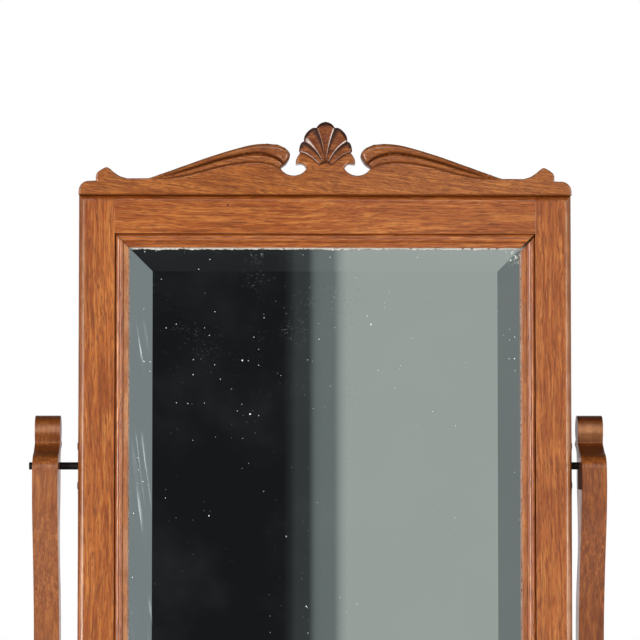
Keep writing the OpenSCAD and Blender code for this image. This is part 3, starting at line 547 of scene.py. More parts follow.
@dataclass(frozen=True)
class MetalFinish:
    """Old metal with a dull, handled surface."""

    name: str
    body: Tint
    stain: Tint
    bright: Tint
    metallic: float
    gloss: float
    pitting: float = 900.0
    pit_depth: float = 0.0002
    pit_bump: float = 0.15
    pit_rough: float = 0.22
    grime_rough: float = 0.15
    edge: float = 0.7

    def material(self, effects: EffectSet) -> bpy.types.Material:
        """Makes this finish.

        Args:
            effects: The shared node groups.

        Returns:
            The material.
        """
        made, sheet, shader = new_material(self.name)
        place = sheet.where()
        wear = effects.wear.place(sheet, {"Vector": place, "Edge": sheet.attribute("edge")})
        pits = sheet.noise(place, self.pitting, 3.0, 0.6)
        stained = sheet.blend(wear["Grime"], self.body, self.stain)
        rough = sheet.math("ADD", sheet.math("MULTIPLY_ADD", pits, self.pit_rough, self.gloss),
                           sheet.times(wear["Grime"], self.grime_rough), clamp=True)
        sheet.put(shader, {
            "Base Color": sheet.blend(sheet.times(wear["Rubbed"], self.edge), stained, self.bright),
            "Roughness": rough, "Metallic": self.metallic,
            "Normal": sheet.bump(pits, self.pit_bump, self.pit_depth)})
        return made


@dataclass(frozen=True)
class MirrorFinish:
    """Silvered plate with dust, scratches and a worn rim. Pairs say where a mask is 0 and 1."""

    name: str
    silver: Tint
    dust: Tint
    bare: Tint
    rim: float = 0.0087
    rim_power: float = 1.5
    top_wear: Point = (0.0007, -0.0004)
    side_wear: Point = (0.0002, -0.0005)
    right_share: float = 0.35
    left_share: float = 0.30
    corner: Point = (0.020, 0.006)
    corner_chips: Point = (0.56, 0.64)
    breaks: Point = (0.36, 0.56)
    break_share: float = 0.7
    near_haze: Point = (0.026, 0.004)
    far_haze: Point = (0.20, 0.05)
    far_share: float = 0.55
    bevel: Point = (0.024, 0.0192)
    scratch_share: float = 0.30
    dust_rough: float = 0.9
    chip_rough: float = 0.75
    silver_rough: float = 0.015

    def material(self, effects: EffectSet, low: Vector, high: Vector) -> bpy.types.Material:
        """Makes this finish for a glass of a known place.

        Args:
            effects: The shared node groups.
            low: Lowest corner of the part of the glass that shows.
            high: Its highest corner.

        Returns:
            The material.
        """
        made, sheet, shader = new_material(self.name)
        place = sheet.where()
        specks = effects.specks.place(sheet, {"Vector": place})
        x, _, z = sheet.split(place)
        top = sheet.math("SUBTRACT", high.z, z)
        right = sheet.math("SUBTRACT", high.x, x)
        left = sheet.math("SUBTRACT", x, low.x)
        chips = self.chips(sheet, place, top, right, left)
        haze = sheet.largest(sheet.ramp(top, *self.near_haze),
                             sheet.ramp(top, *self.far_haze, self.far_share))
        scratched = sheet.times(specks["Scratches"], sheet.ramp(left, *self.bevel),
                                self.scratch_share)
        dusty = sheet.largest(specks["Specks"], scratched, sheet.times(haze, specks["Haze"]))
        rough = sheet.largest(sheet.times(dusty, self.dust_rough),
                              sheet.times(chips, self.chip_rough))
        sheet.put(shader, {
            "Base Color": sheet.blend(chips, sheet.blend(dusty, self.silver, self.dust), self.bare),
            "Roughness": sheet.math("ADD", rough, self.silver_rough, clamp=True), "Metallic": 1.0})
        return made

    def chips(self, sheet: NodeSheet, place: Socket, top: Socket, right: Socket,
              left: Socket) -> Socket:
        """A mask of the silver that has come off along the rim and in the top right corner.

        Args:
            sheet: Where the nodes go.
            place: The place that is shaded.
            top: Its distance from the top of the glass.
            right: Its distance from the right side.
            left: Its distance from the left side.

        Returns:
            The mask.
        """
        crumbs = sheet.noise(place, 420.0, 4.0, 0.8)
        waves = sheet.noise(place, 55.0, 3.0, 0.6)
        ragged = sheet.times(sheet.math("POWER", sheet.times(crumbs, waves), self.rim_power),
                             self.rim)
        rims = [sheet.ramp(sheet.math("SUBTRACT", gap, sheet.times(ragged, share)), *wear)
                for gap, share, wear in ((top, 1.0, self.top_wear),
                                         (right, self.right_share, self.side_wear),
                                         (left, self.left_share, self.side_wear))]
        broken = sheet.math("ADD", sheet.ramp(sheet.noise(place, 170.0, 3.0, 0.7), *self.breaks,
                                              self.break_share), 1.0 - self.break_share)
        corner = sheet.times(sheet.ramp(top, *self.corner), sheet.ramp(right, *self.corner))
        return sheet.largest(sheet.times(sheet.largest(*rims), broken),
                             sheet.times(corner, sheet.ramp(crumbs, *self.corner_chips)))


# Each rubbed tint colours worn edges and also the painted highlights on the frame, the moulding,
# the knobs and the shell.
FRAME_OAK = OakFinish(
    "frame_oak", pale=tint(218, 142, 70), middle=tint(184, 102, 42), deep=tint(134, 62, 18),
    pore=tint(84, 36, 10), rubbed=tint(226, 176, 134), edge=0.5, fineness=1.2)
CREST_OAK = OakFinish(
    "crest_oak", pale=tint(216, 140, 67), middle=tint(176, 100, 40), deep=tint(124, 60, 20),
    pore=tint(72, 31, 12), rubbed=tint(204, 150, 104), mottle=0.2, slant=0.12, pore_amount=1.0,
    fineness=2.3)
# The shell's near-white rubbed tint is mostly the painted highlight along its ridges.
SHELL_OAK = OakFinish(
    "shell_oak", pale=tint(190, 118, 62), middle=tint(156, 86, 42), deep=tint(108, 52, 26),
    pore=tint(44, 20, 12), rubbed=tint(255, 240, 230), gloss=0.55, coat=0.0, bump=0.10, edge=0.95)
LEFT_ARM_OAK = OakFinish(
    "left_arm_oak", pale=tint(192, 121, 60), middle=tint(158, 90, 39), deep=tint(122, 61, 23),
    pore=tint(84, 40, 16), rubbed=tint(220, 172, 136), mottle=0.45, coat=0.5, pore_amount=0.5,
    film_rough=0.26)
RIGHT_ARM_OAK = OakFinish(
    "right_arm_oak", pale=tint(184, 112, 50), middle=tint(144, 77, 28), deep=tint(106, 50, 17),
    pore=tint(66, 30, 12), rubbed=tint(222, 158, 104), mottle=0.7, coat=0.5, pore_amount=0.5,
    edge=0.7, film_rough=0.26)
CASE_OAK = OakFinish(
    "case_oak", pale=tint(214, 140, 70), middle=tint(182, 103, 44), deep=tint(134, 65, 22),
    pore=tint(84, 38, 13), rubbed=tint(216, 160, 110), coat=0.42, film_rough=0.20)
INSIDE_OAK = OakFinish(
    "inside_wood", pale=tint(212, 164, 110), middle=tint(192, 140, 88), deep=tint(158, 108, 64),
    pore=tint(112, 72, 42), rubbed=tint(220, 178, 130), gloss=0.62, coat=0.0)
BLACK_IRON = MetalFinish(
    "black_iron", body=tint(34, 30, 28), stain=tint(58, 44, 36), bright=tint(120, 112, 104),
    metallic=0.85, gloss=0.42)
OLD_BRASS = MetalFinish(
    "old_brass", body=tint(160, 124, 66), stain=tint(86, 64, 36), bright=tint(212, 180, 116),
    metallic=1.0, gloss=0.30)
OLD_MIRROR = MirrorFinish(
    "old_mirror", silver=tint(226, 231, 229), dust=tint(236, 238, 240), bare=tint(226, 224, 216))


# ---------------------------------------------------------------------------------------------
# Curves that the carving follows, in millimetres from the crest's middle and lower edge


def smooth_curve(points: Iterable[Point], steps: int) -> list[Point]:
    """A smooth curve through points.

    Args:
        points: The points that it passes through.
        steps: Steps in each stretch between two points.

    Returns:
        The curve's points.
    """
    path = np.array(list(points), float)
    out: list[Point] = []
    for i in range(len(path) - 1):
        a, b = path[max(i - 1, 0)], path[i]
        c, d = path[i + 1], path[min(i + 2, len(path) - 1)]
        for k in range(steps):
            t = k / steps
            spot = 0.5 * (2 * b + (c - a) * t + (2 * a - 5 * b + 4 * c - d) * t * t
                          + (3 * b - a - 3 * c + d) * t ** 3)
            out.append((float(spot[0]), float(spot[1])))
    out.append((float(path[-1][0]), float(path[-1][1])))
    return out


def arc_points(middle: Point, radius: float, start: float, end: float, steps: int) -> list[Point]:
    """Points of an arc, with its angles in degrees."""
    turns = [math.radians(start + (end - start) * k / steps) for k in range(steps + 1)]
    return [(middle[0] + radius * math.cos(a), middle[1] + radius * math.sin(a)) for a in turns]


def mirrored(points: list[Point]) -> list[Point]:
    """The same points on the other side of the middle, in the other order."""
    return [(-x, z) for x, z in reversed(points)]


def gap_to_path(spots: np.ndarray, path: np.ndarray) -> np.ndarray:
    """Distance of each spot to the nearest stretch of a path.

    Args:
        spots: One row for each spot.
        path: The path's points, one row each.

    Returns:
        The distances.
    """
    best = np.full(len(spots), np.inf)
    for a, b in zip(path[:-1], path[1:]):
        along = b - a
        t = np.clip(((spots - a) @ along) / max(float(along @ along), 1e-12), 0.0, 1.0)
        best = np.minimum(best, np.linalg.norm(spots - (a + t[:, None] * along), axis=1))
    return best


def inside(spots: np.ndarray, loop: np.ndarray) -> np.ndarray:
    """Which spots lie inside a closed loop.

    Args:
        spots: One row for each spot.
        loop: The loop's points, one row each.

    Returns:
        True or False for each spot.
    """
    x, z = spots[:, 0], spots[:, 1]
    hit = np.zeros(len(spots), bool)
    for a, b in zip(loop, np.roll(loop, -1, axis=0)):
        if a[1] == b[1]:
            continue
        crosses = (a[1] > z) != (b[1] > z)
        hit ^= crosses & (x < (b[0] - a[0]) * (z - a[1]) / (b[1] - a[1]) + a[0])
    return hit


def trace(gap: np.ndarray | float, width: float) -> np.ndarray:
    """How strongly a line shows at a distance from it: 1 on it, and fading over its width."""
    return np.exp(-((gap / width) ** 2))


def arch(share: np.ndarray | float) -> np.ndarray:
    """Height of a quarter round, from 0 at a share of 0 to 1 at a share of 1."""
    return np.sqrt(np.clip(1 - (1 - share) ** 2, 0, 1))


@dataclass
class ShellRays:
    """The fan of rays that the shell is carved to, with angles from straight up in degrees."""

    ray_step: float = 25.0
    last_ray: float = 60.0
    last: float = 56.0
    base: float = 21.6
    reach: float = 42.0
    fall: float = 0.095
    fall_power: float = 1.24
    notch: float = 2.5
    start: float = 6.8
    inner_fan: Place = (0.34, 0.66, 1.2)  # share of a ridge's angle that it keeps at its root, the
    outer_fan: Place = (0.56, 0.44, 1.3)  # rest, and the power with which it opens to the rim
    side_start: float = 47.0
    side_power: float = 2.5

    def lobe(self, angle: np.ndarray) -> np.ndarray:
        """Distance from the middle of a lobe: 0 there and 0.5 between two lobes."""
        turns = np.asarray(angle) / self.ray_step
        return np.abs(turns - np.round(turns))

    def edge(self, angle: np.ndarray) -> np.ndarray:
        """Radius of the rim at an angle."""
        notch = self.notch * (2 * self.lobe(angle)) ** 3
        return self.reach - self.fall * np.abs(angle) ** self.fall_power - notch

    def fan(self, ray: float, share: float) -> float:
        """The angle of a ray at a share of its length: the rays lie closer at their root.

        Args:
            ray: The ray's angle at the rim.
            share: How far out along it, from 0 to 1.

        Returns:
            The angle there.
        """
        ridges = (self.ray_step / 2, 3 * self.ray_step / 2)
        there = [ridge * (kept + rest * share ** power)
                 for ridge, (kept, rest, power) in zip(ridges, (self.inner_fan, self.outer_fan))]
        side = self.side_start + (self.last - self.side_start) * share ** self.side_power
        turned = float(np.interp(abs(ray), (0.0, *ridges, self.last), (0.0, *there, side)))
        return math.copysign(turned, ray)

    def point(self, angle: float, radius: float) -> Point:
        """The point at an angle and radius, from the crest's middle and lower edge."""
        turn = math.radians(angle)
        return radius * math.sin(turn), self.base + radius * math.cos(turn)


@dataclass
class CrestShape:
    """The crest board's outline and the curves of its scrolls."""

    half_width: float
    shell: ShellRays = field(default_factory=ShellRays)
    steps: int = 5
    scroll_top: tuple[Point, ...] = (
        (154, 14.3), (144, 17.8), (133, 21.4), (112.5, 29.1), (91.5, 36.2), (70.6, 42.2),
        (60, 44.2), (51, 44.6), (42, 43.8), (35.5, 41), (31.8, 37.5), (31.1, 33.8), (34.5, 27.7),
        (39.5, 24.1))
    scroll_foot: tuple[Point, ...] = (
        (40.2, 22.9), (46.3, 26.0), (56, 27.9), (65.7, 28.2), (75.3, 27.3), (85, 25.7),
        (94.6, 23.6), (104.3, 21.0), (114, 18.4), (123.7, 16.1), (133.3, 14.6), (143, 13.8),
        (152, 13.8))
    scroll_groove: tuple[Point, ...] = (
        (36.6, 26.0), (38.5, 28.6), (41.5, 30.9), (46.3, 33.2), (56, 35.7), (65.7, 35.5),
        (75.3, 34.0), (85, 31.9), (94.6, 29.4), (104.3, 26.5), (114, 23.4), (123.7, 20.5),
        (133.3, 17.6), (141, 15.6), (150, 14.4))
    ear: tuple[Point, ...] = (
        (16.3, 23.4), (18.6, 27), (21.2, 28), (25.9, 27.3), (25.8, 30.2), (24.7, 33), (23, 35.6))
    end_rise: tuple[Point, ...] = (  # inwards from the board's end, and up
        (16, 19.0), (20, 22.0), (25, 23.8), (31, 19.3), (36, 16.1), (42, 14.2))
    cut_middle: Point = (27.8, 30.5)
    cut_radius: float = 13.6

    def end(self) -> list[Point]:
        """The stepped end of the outline.

        Returns:
            Its points, from its outer lower corner to the foot of the scroll.
        """
        w = self.half_width
        foot = [(w, 0.0), (w, 3.0)] + arc_points((w - 9, 3.0), 9, 15, 80, 6)
        rise = smooth_curve([(w - x, z) for x, z in self.end_rise], self.steps)
        return foot + [(w - 15, 12.2), (w - 15, 16.5)] + rise

    def half(self) -> list[Point]:
        """The outline of the right half, up to the shell."""
        cut = arc_points(self.cut_middle, self.cut_radius, -30, -150, 14)
        return self.end() + smooth_curve(self.scroll_top, self.steps) + cut + list(self.ear)

    def outline(self) -> list[Point]:
        """The whole outline, with its middle hidden 1 mm inside the shell's rim.

        Returns:
            Its points.
        """
        rays = self.shell
        angles = np.arange(rays.last, -rays.last - 1, -2.0)
        fan = [rays.point(a, float(rays.edge(a)) - 1) for a in angles]
        return self.half() + fan + mirrored(self.half())


# ---------------------------------------------------------------------------------------------
# Pieces


def add_object(name: str, data: bpy.types.ID) -> bpy.types.Object:
    """Puts an object into the scene.

    Args:
        name: Its name.
        data: Its mesh, lamp or camera.

    Returns:
        The object.
    """
    made = bpy.data.objects.new(name, data)
    bpy.context.scene.collection.objects.link(made)
    return made


def set_values(mesh: bpy.types.Mesh, name: str, values: np.ndarray) -> None:
    """Writes a value for each point of a mesh, which the finishes read by its name."""
    layer = mesh.attributes.new(name, "FLOAT", "POINT")
    layer.data.foreach_set("value", np.asarray(values, np.float32))


def measure(piece: bpy.types.Object, gap: Callable[[Vector], float]) -> np.ndarray:
    """A distance for each point of a piece."""
    return np.array([gap(vert.co) for vert in piece.data.vertices])


def paint_face_highlights(piece: bpy.types.Object, pale: Callable[[bpy.types.MeshPolygon], float]) -> None:
    """Paints a highlight on each face of a piece, at least as pale as a rule says.

    Args:
        piece: The piece.
        pale: Tells how pale a face is, from 0 to 1.
    """
    layer = piece.data.attributes["edge"]
    for value, face in zip(layer.data, piece.data.polygons):
        value.value = max(value.value, pale(face))


def carved_object(name: str, verts: list[Place], faces: list[tuple[int, ...]],
                  values: Mapping[str, np.ndarray], sharp: float) -> bpy.types.Object:
    """Makes a carved piece.

    Args:
        name: Its node's name.
        verts: Its points.
        faces: Its faces, as numbers of points.
        values: The values that each point carries, by name.
        sharp: Least angle of an edge that stays sharp, in degrees.

    Returns:
        The piece.
    """
    mesh = bpy.data.meshes.new(f"{name}_carved")
    mesh.from_pydata(verts, [], faces)
    mesh.validate()
    for title, given in values.items():
        set_values(mesh, title, given)
    bm = bmesh.new()
    bm.from_mesh(mesh)
    bmesh.ops.recalc_face_normals(bm, faces=bm.faces)
    for face in bm.faces:
        face.smooth = True
    bm.to_mesh(mesh)
    bm.free()
    mesh.set_sharp_from_angle(angle=math.radians(sharp))
    return add_object(f"{name}_piece", mesh)


@dataclass
class Workshop:
    """Makes pieces, and keeps what they share."""

    effects: EffectSet
    node_body: dict[str, str]
    node_slot: dict[str, str]
    seed: int = 0
    weld: float = 2e-6
    flat: float = 0.6
    sharp: float = 38.0

    def next_seed(self) -> int:
        """A new place in the log for the next board."""
        self.seed += 1
        return self.seed

    def oak(self, finish: OakFinish, axis: Axis, **marks: object) -> bpy.types.Material:
        """An oak finish for the next board, with the marks that it bears."""
        return finish.material(self.effects, axis, self.next_seed(), **marks)

    def along(self, node: str) -> Axis:
        """The longest direction of a node, which is where its grain runs."""
        low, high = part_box(node)
        return max(Axis, key=lambda axis: (high - low)[axis.value])

    def fit(self, piece: bpy.types.Object, node: str, material: bpy.types.Material) -> None:
        """Puts a piece in place of a node.

        Args:
            piece: The new piece.
            node: The node it stands for.
            material: Its finish.
        """
        piece.data.materials.clear()
        piece.data.materials.append(material)
        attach(piece, self.node_body[node])
        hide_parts(node)
        LOG.info("%s made, rides on %s", piece.name, self.node_body[node])

    def soften(self, node: str, width: float, steps: int = 2,
               crease: float = 24.0) -> bpy.types.Object:
        """A copy of a node with its sharp edges eased.

        Args:
            node: The frame's node.
            width: Width of the eased edge.
            steps: Facets across it.
            crease: Least angle of an edge that is eased, in degrees.

        Returns:
            The new object.
        """
        mesh = bpy.data.meshes.new(f"{node}_eased")
        bm = bmesh.new()
        bm.from_mesh(frame["nodes"][node].data)
        bmesh.ops.remove_doubles(bm, verts=bm.verts, dist=self.weld)
        bmesh.ops.dissolve_limit(bm, angle_limit=math.radians(self.flat), verts=bm.verts,
                                 edges=bm.edges, use_dissolve_boundaries=False)
        bm.normal_update()
        least = math.radians(crease)
        sharp = [e for e in bm.edges if len(e.link_faces) == 2 and e.calc_face_angle(0.0) > least]
        layer = bm.faces.layers.float.new("edge")
        if width > 0 and sharp:
            made = bmesh.ops.bevel(bm, geom=sharp, offset=width, offset_type="OFFSET",
                                   segments=steps, profile=0.5, affect="EDGES", clamp_overlap=True)
            for face in made["faces"]:
                face[layer] = 1.0
        for face in bm.faces:
            face.smooth = True
        bm.to_mesh(mesh)
        bm.free()
        piece = add_object(f"{node}_piece", mesh)
        mesh.set_sharp_from_angle(angle=math.radians(self.sharp))
        piece.modifiers.new("even_shading", "WEIGHTED_NORMAL").keep_sharp = True
        return piece


@dataclass(frozen=True)
class ShellRay:
    """One ray of the shell's mesh, from its root to its rim. Angles are in degrees."""

    angle: float
    lobe: float
    edge: float
    past: float  # angle since the last ridge, and left to the next one
    before: float
    flute: float  # 0 on a ridge and 1 in the hollow of a lobe
    lit: float  # how much light the next ridge takes
    spread: float  # how much wider that light grows towards the rim


@dataclass
class ShellCarving:
    """Cut of the shell in millimetres, its painted shade and highlight in shares; angles in
    degrees.
    """

    rays: ShellRays
    room: float  # the most that it may rise
    mesh_rays: int = 240
    mesh_rings: int = 72
    flute_depth: float = 2.7
    ridge_round: float = 0.12
    lip_round: float = 3.2
    lip_foot: float = 0.42
    root_share: float = 0.35
    swell_share: float = 0.75
    side_drop: float = 0.25
    least_rise: float = 0.3
    front_room: float = 0.05
    ridge_dark: float = 0.96
    ridge_wide: float = 10.0
    ridge_core: float = 0.4
    rim_dark: float = 0.95
    rim_wide: float = 2.8
    rim_notch: float = 0.7
    middle_rim: float = 1.35
    side_rim: float = 0.35
    side_from: float = 50.0
    rim_soft: Point = (0.5, 0.9)
    root_dark: float = 0.85
    root_length: float = 0.05
    floor_dark: float = 0.26
    floor_fade: float = 0.5
    light_width: float = 0.8
    light_growth: float = 2.6
    light_place: float = 0.9
    light_start: float = 0.12
    light_cover: float = 0.9
    weak_light: float = 0.25
    overlap: float = 1.02

    def ray(self, angle: float) -> ShellRay:
        """Works out one ray of the shell.

        Args:
            angle: Its angle.

        Returns:
            The ray.
        """
        rays = self.rays
        away = abs(angle)
        inner, outer = ridges = rays.ray_step / 2, 3 * rays.ray_step / 2
        lobe = float(rays.lobe(angle))
        ridge = 1 - (math.hypot(1 - 2 * lobe, self.ridge_round) - self.ridge_round)
        bright_side = 1 if away < inner * self.overlap else -1 if away > outer * self.overlap else 0
        return ShellRay(
            angle, lobe, float(rays.edge(angle)),
            past=min((away - k for k in ridges if away > k), default=math.inf),
            before=min((k - away for k in ridges if away <= k), default=rays.last - away),
            flute=1 - ridge ** 2,
            lit=1.0 if bright_side == 0 or angle * bright_side > 0 else self.weak_light,
            spread=self.light_growth if -outer < angle < -inner else 0.0)

    def rise(self, ray: ShellRay, share: float, from_rim: float) -> float:
        """How far the shell stands before the field.

        Args:
            ray: The ray.
            share: How far out along it, from 0 to 1.
            from_rim: Distance from the rim.

        Returns:
            The rise.
        """
        swell = 0.5 + 0.5 * math.sin(min(share / self.swell_share, 1.0) * math.pi / 2)
        lip = self.lip_foot + (1 - self.lip_foot) * arch(min(from_rim / self.lip_round, 1.0))
        depth = self.flute_depth * ray.flute * (self.root_share + (1 - self.root_share) * share)
        side = self.side_drop * (ray.angle / self.rays.last_ray) ** 2
        rise = ((self.room - self.least_rise) * swell * (1 - side) - depth) * lip
        return float(max(self.least_rise, min(self.room - self.front_room, rise)))

    def shades(self, ray: ShellRay, share: float, from_rim: float) -> Point:
        """How much shade is painted in the shell's flutes, and how bright a highlight along its
        ridges.

        Args:
            ray: The ray.
            share: How far out along it, from 0 to 1.
            from_rim: Distance from the rim.

        Returns:
            The two values, from 0 to 1.
        """
        away, core = abs(ray.angle), self.ridge_core
        wide = self.ridge_wide * (self.root_share + (1 - self.root_share) * share)
        beside = self.ridge_dark * trace(max(0.0, ray.past - core * wide), (1 - core) * wide)
        reach = self.rim_wide * (1 - self.rim_notch * (2 * ray.lobe) ** 2)
        reach *= (self.middle_rim if away < self.rays.ray_step / 2
                  else self.side_rim if away > self.side_from else 1.0)
        before, soft = self.rim_soft
        rim = self.rim_dark * min(1.0, max(0.0, (reach + before - from_rim) / soft))
        root = self.root_dark * trace(share, self.root_length)
        floor = self.floor_dark * ray.flute * (1 - self.floor_fade * share)
        broad = self.light_width + ray.spread * share ** 3
        bright = trace(ray.before - self.light_place * broad / self.light_width, broad)
        pale = bright * min(1.0, share / self.light_start) * ray.lit * (1 - rim)
        return min(1.0, max(beside, rim, root, floor) * (1 - self.light_cover * pale)), pale


@dataclass
class MirrorCrest:
    """The carved crest board and the shell in its middle, in millimetres and in shares."""

    shop: Workshop
    pitch: float = 0.9
    least_step: float = 0.12
    grid_room: float = 0.45
    curve_steps: int = 8
    edge_round: float = 1.3
    scroll_rise: float = 4.6
    scroll_width: float = 11.0
    growth: float = 0.7
    reed_share: float = 0.45
    reed_foot: float = 0.15
    lower_foot: float = 0.10
    lower_rise: float = 0.62
    tail_end: float = 153.0
    tail_length: float = 22.0
    cut_start: float = 35.0
    cut_depth: float = 0.5
    cut_dark: float = 0.8
    groove_width: float = 0.75
    foot_width: float = 0.65
    groove_shade: Point = (2.4, 0.45)  # width of a shadow, and how dark it is
    crown_shade: Point = (0.9, 0.75)
    shell_shade: Point = (0.9, 0.85)
    lower_shade: Point = (0.8, 0.3)
    scroll_shade: float = 0.14

    def build(self) -> None:
        """Builds and places the board and the shell."""
        low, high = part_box("crest_board")
        self.middle = (low.x + high.x) / 2
        self.foot = low.z
        self.back = high.y
        shell_low, shell_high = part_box("crest_shell")
        self.field = shell_high.y
        self.shape = CrestShape(half_width=(high.x - low.x) / 2 / MM)
        self.shop.fit(self.board(), "crest_board", self.shop.oak(CREST_OAK, Axis.X))
        shell = self.shell((self.field - shell_low.y) / MM)
        self.shop.fit(shell, "crest_shell", self.shop.oak(SHELL_OAK, Axis.X))

    def spot(self, x: float, z: float, rise: float) -> Place:
        """The place in the scene of a point of the carving that stands before the field."""
        return self.middle + x * MM, self.field - rise * MM, self.foot + z * MM

    def relief(self, spots: np.ndarray, loop: np.ndarray) -> tuple[np.ndarray, np.ndarray]:
        """How far the carved face stands before the field, and how much shade is painted on it.

        Args:
            spots: Places on the board, in millimetres.
            loop: The board's outline.

        Returns:
            The rise of each spot in millimetres, and a mask of painted shade.
        """
        shape = self.shape
        top, foot, groove = (np.array(smooth_curve(path, self.curve_steps)) for path in
                             (shape.scroll_top, shape.scroll_foot, shape.scroll_groove))
        folded = np.column_stack([np.abs(spots[:, 0]), spots[:, 1]])
        scroll = inside(folded, np.vstack([top, foot]))
        upper = scroll & inside(folded, np.vstack([top, groove]))
        to_top, to_foot, to_groove = (gap_to_path(folded, path) for path in (top, foot, groove))
        grown = np.clip((to_top + to_foot) / self.scroll_width, 0.0, 1.0) ** self.growth
        v_up = to_groove / np.maximum(to_groove + to_top, 1e-6)
        v_low = to_foot / np.maximum(to_groove + to_foot, 1e-6)
        reed = self.reed_share
        arch_up = np.where(v_up < reed, arch(v_up / reed),
                           1 - reed * ((v_up - reed) / (1 - reed)) ** 2)
        arch_low = np.sqrt(np.clip(1 - (2 * v_low - 1) ** 2, 0, 1))
        rise = np.where(upper, self.reed_foot + (1 - self.reed_foot) * arch_up,
                        np.where(scroll, self.lower_foot + self.lower_rise * arch_low, 0.0))
        tail = np.clip((self.tail_end - folded[:, 0]) / self.tail_length, 0.0, 1.0)
        in_groove = trace(to_groove, self.groove_width) * scroll * grown
        under = trace(to_foot, self.foot_width) * (folded[:, 0] > self.cut_start) * tail ** 0.5
        near = 1.0 - np.clip(gap_to_path(spots, loop) / self.edge_round, 0.0, 1.0)
        round_over = self.edge_round * (1.0 - np.sqrt(np.clip(1.0 - near ** 2, 0.0, 1.0)))
        rise = rise * self.scroll_rise * grown - round_over - self.cut_depth * (under + in_groove)
        # Painted shade in the grooves, under the scrolls, along their crowns, round the shell's
        # foot and along the lower edge.
        hollow = self.cut_dark * (in_groove + under) + self.scroll_shade * scroll * grown
        for gap, (width, dark), share in (
                (to_groove, self.groove_shade, upper * grown), (to_top, self.crown_shade, tail),
                (gap_to_path(folded, self.shell_foot()), self.shell_shade, 1.0),
                (spots[:, 1], self.lower_shade, 1.0)):
            hollow = hollow + trace(gap, width) * dark * share
        return rise, np.clip(hollow, 0.0, 1.0)

    def shell_foot(self) -> np.ndarray:
        """The shell's lower edge on its right half.

        Returns:
            Its points, from its rim round to the middle of its root.
        """
        rays = self.shape.shell
        length = float(rays.edge(rays.last)) - rays.start
        side = [rays.point(rays.fan(rays.last, u), rays.start + length * u)
                for u in np.linspace(1, 0, 24)]
        root = [rays.point(rays.fan(a, 0.0), rays.start) for a in np.linspace(rays.last, 0, 12)]
        return np.array(side + root)

    def board(self) -> bpy.types.Object:
        """The crest board, as a carved front, a flat back and the sawn edge between them.

        Returns:
            The board.
        """
        loop = np.array(self.shape.outline(), float)
        keep = [0]
        for i in range(1, len(loop)):
            if np.linalg.norm(loop[i] - loop[keep[-1]]) > self.least_step:
                keep.append(i)
        loop = loop[keep]
        count = len(loop)
        reach = self.shape.half_width
        xs = np.arange(-reach, reach + self.pitch, self.pitch)
        zs = np.arange(0.0, loop[:, 1].max() + self.pitch, self.pitch)
        grid = np.array([(x + (self.pitch / 2 if j % 2 else 0.0), z)
                         for j, z in enumerate(zs) for x in xs])
        grid = grid[inside(grid, loop)]
        closed = np.vstack([loop, loop[:1]])
        grid = grid[gap_to_path(grid, closed) > self.pitch * self.grid_room]
        flat = delaunay_2d_cdt([Vector((float(x), float(z))) for x, z in np.vstack([loop, grid])],
                               [(i, (i + 1) % count) for i in range(count)], [], 1, 1e-5)
        spots = np.array([(v.x, v.y) for v in flat[0]])
        faces = [tuple(f) for f in flat[2]]
        middles = np.array([spots[list(f)].mean(0) for f in faces])
        faces = [f for f, kept in zip(faces, inside(middles, loop)) if kept]
        rise, hollow = self.relief(spots, loop)
        front = [self.spot(x, z, r) for (x, z), r in zip(spots, rise)]
        total = len(front)
        edges = Counter((min(a, b), max(a, b)) for f in faces for a, b in zip(f, f[1:] + f[:1]))
        walls = [(a, b, b + total, a + total) for (a, b), uses in edges.items() if uses == 1]
        rear = [tuple(i + total for i in reversed(f)) for f in faces]
        return carved_object(
            "crest_board", front + [(x, self.back, z) for x, _, z in front], faces + rear + walls,
            {"hollow": np.concatenate([hollow, np.zeros(total)])}, 50.0)

    def shell(self, room: float) -> bpy.types.Object:
        """The shell: five fluted lobes with sharp ridges between them.

        Args:
            room: How far before the field it may reach.

        Returns:
            The shell.
        """
        rays = self.shape.shell
        cut = ShellCarving(rays, room)
        verts, shades = [], []
        for angle in np.linspace(-rays.last, rays.last, cut.mesh_rays + 1):
            ray = cut.ray(float(angle))
            for share in np.linspace(0.0, 1.0, cut.mesh_rings + 1):
                radius = rays.start + (ray.edge - rays.start) * share
                x, z = rays.point(rays.fan(ray.angle, float(share)), radius)
                verts.append(self.spot(x, z, cut.rise(ray, share, ray.edge - radius)))
                shades.append(cut.shades(ray, share, ray.edge - radius))
        total, row = len(verts), cut.mesh_rings + 1
        faces = []
        for i in range(cut.mesh_rays):
            for k in range(i * row, i * row + cut.mesh_rings):
                faces += [(k, k + 1, k + row + 1, k + row),
                          (total + k, total + k + row, total + k + row + 1, total + k + 1)]
        for k in range(0, cut.mesh_rays * row, row):
            m = k + cut.mesh_rings
            faces += [(k, k + row, total + k + row, total + k),
                      (m, total + m, total + m + row, m + row)]
        for j in range(cut.mesh_rings):
            k = cut.mesh_rays * row + j
            faces += [(j, total + j, total + j + 1, j + 1), (k, k + 1, total + k + 1, total + k)]
        # Painted shade in the flutes, at the rim and at the root, and painted highlights along the
        # ridges.
        hollow, pale = np.array(shades).T
        return carved_object(
            "crest_shell", verts + [(x, self.field, z) for x, _, z in verts], faces,
            {"hollow": np.concatenate([hollow, np.ones(total)]),
             "edge": np.concatenate([pale, np.zeros(total)])}, 60.0)


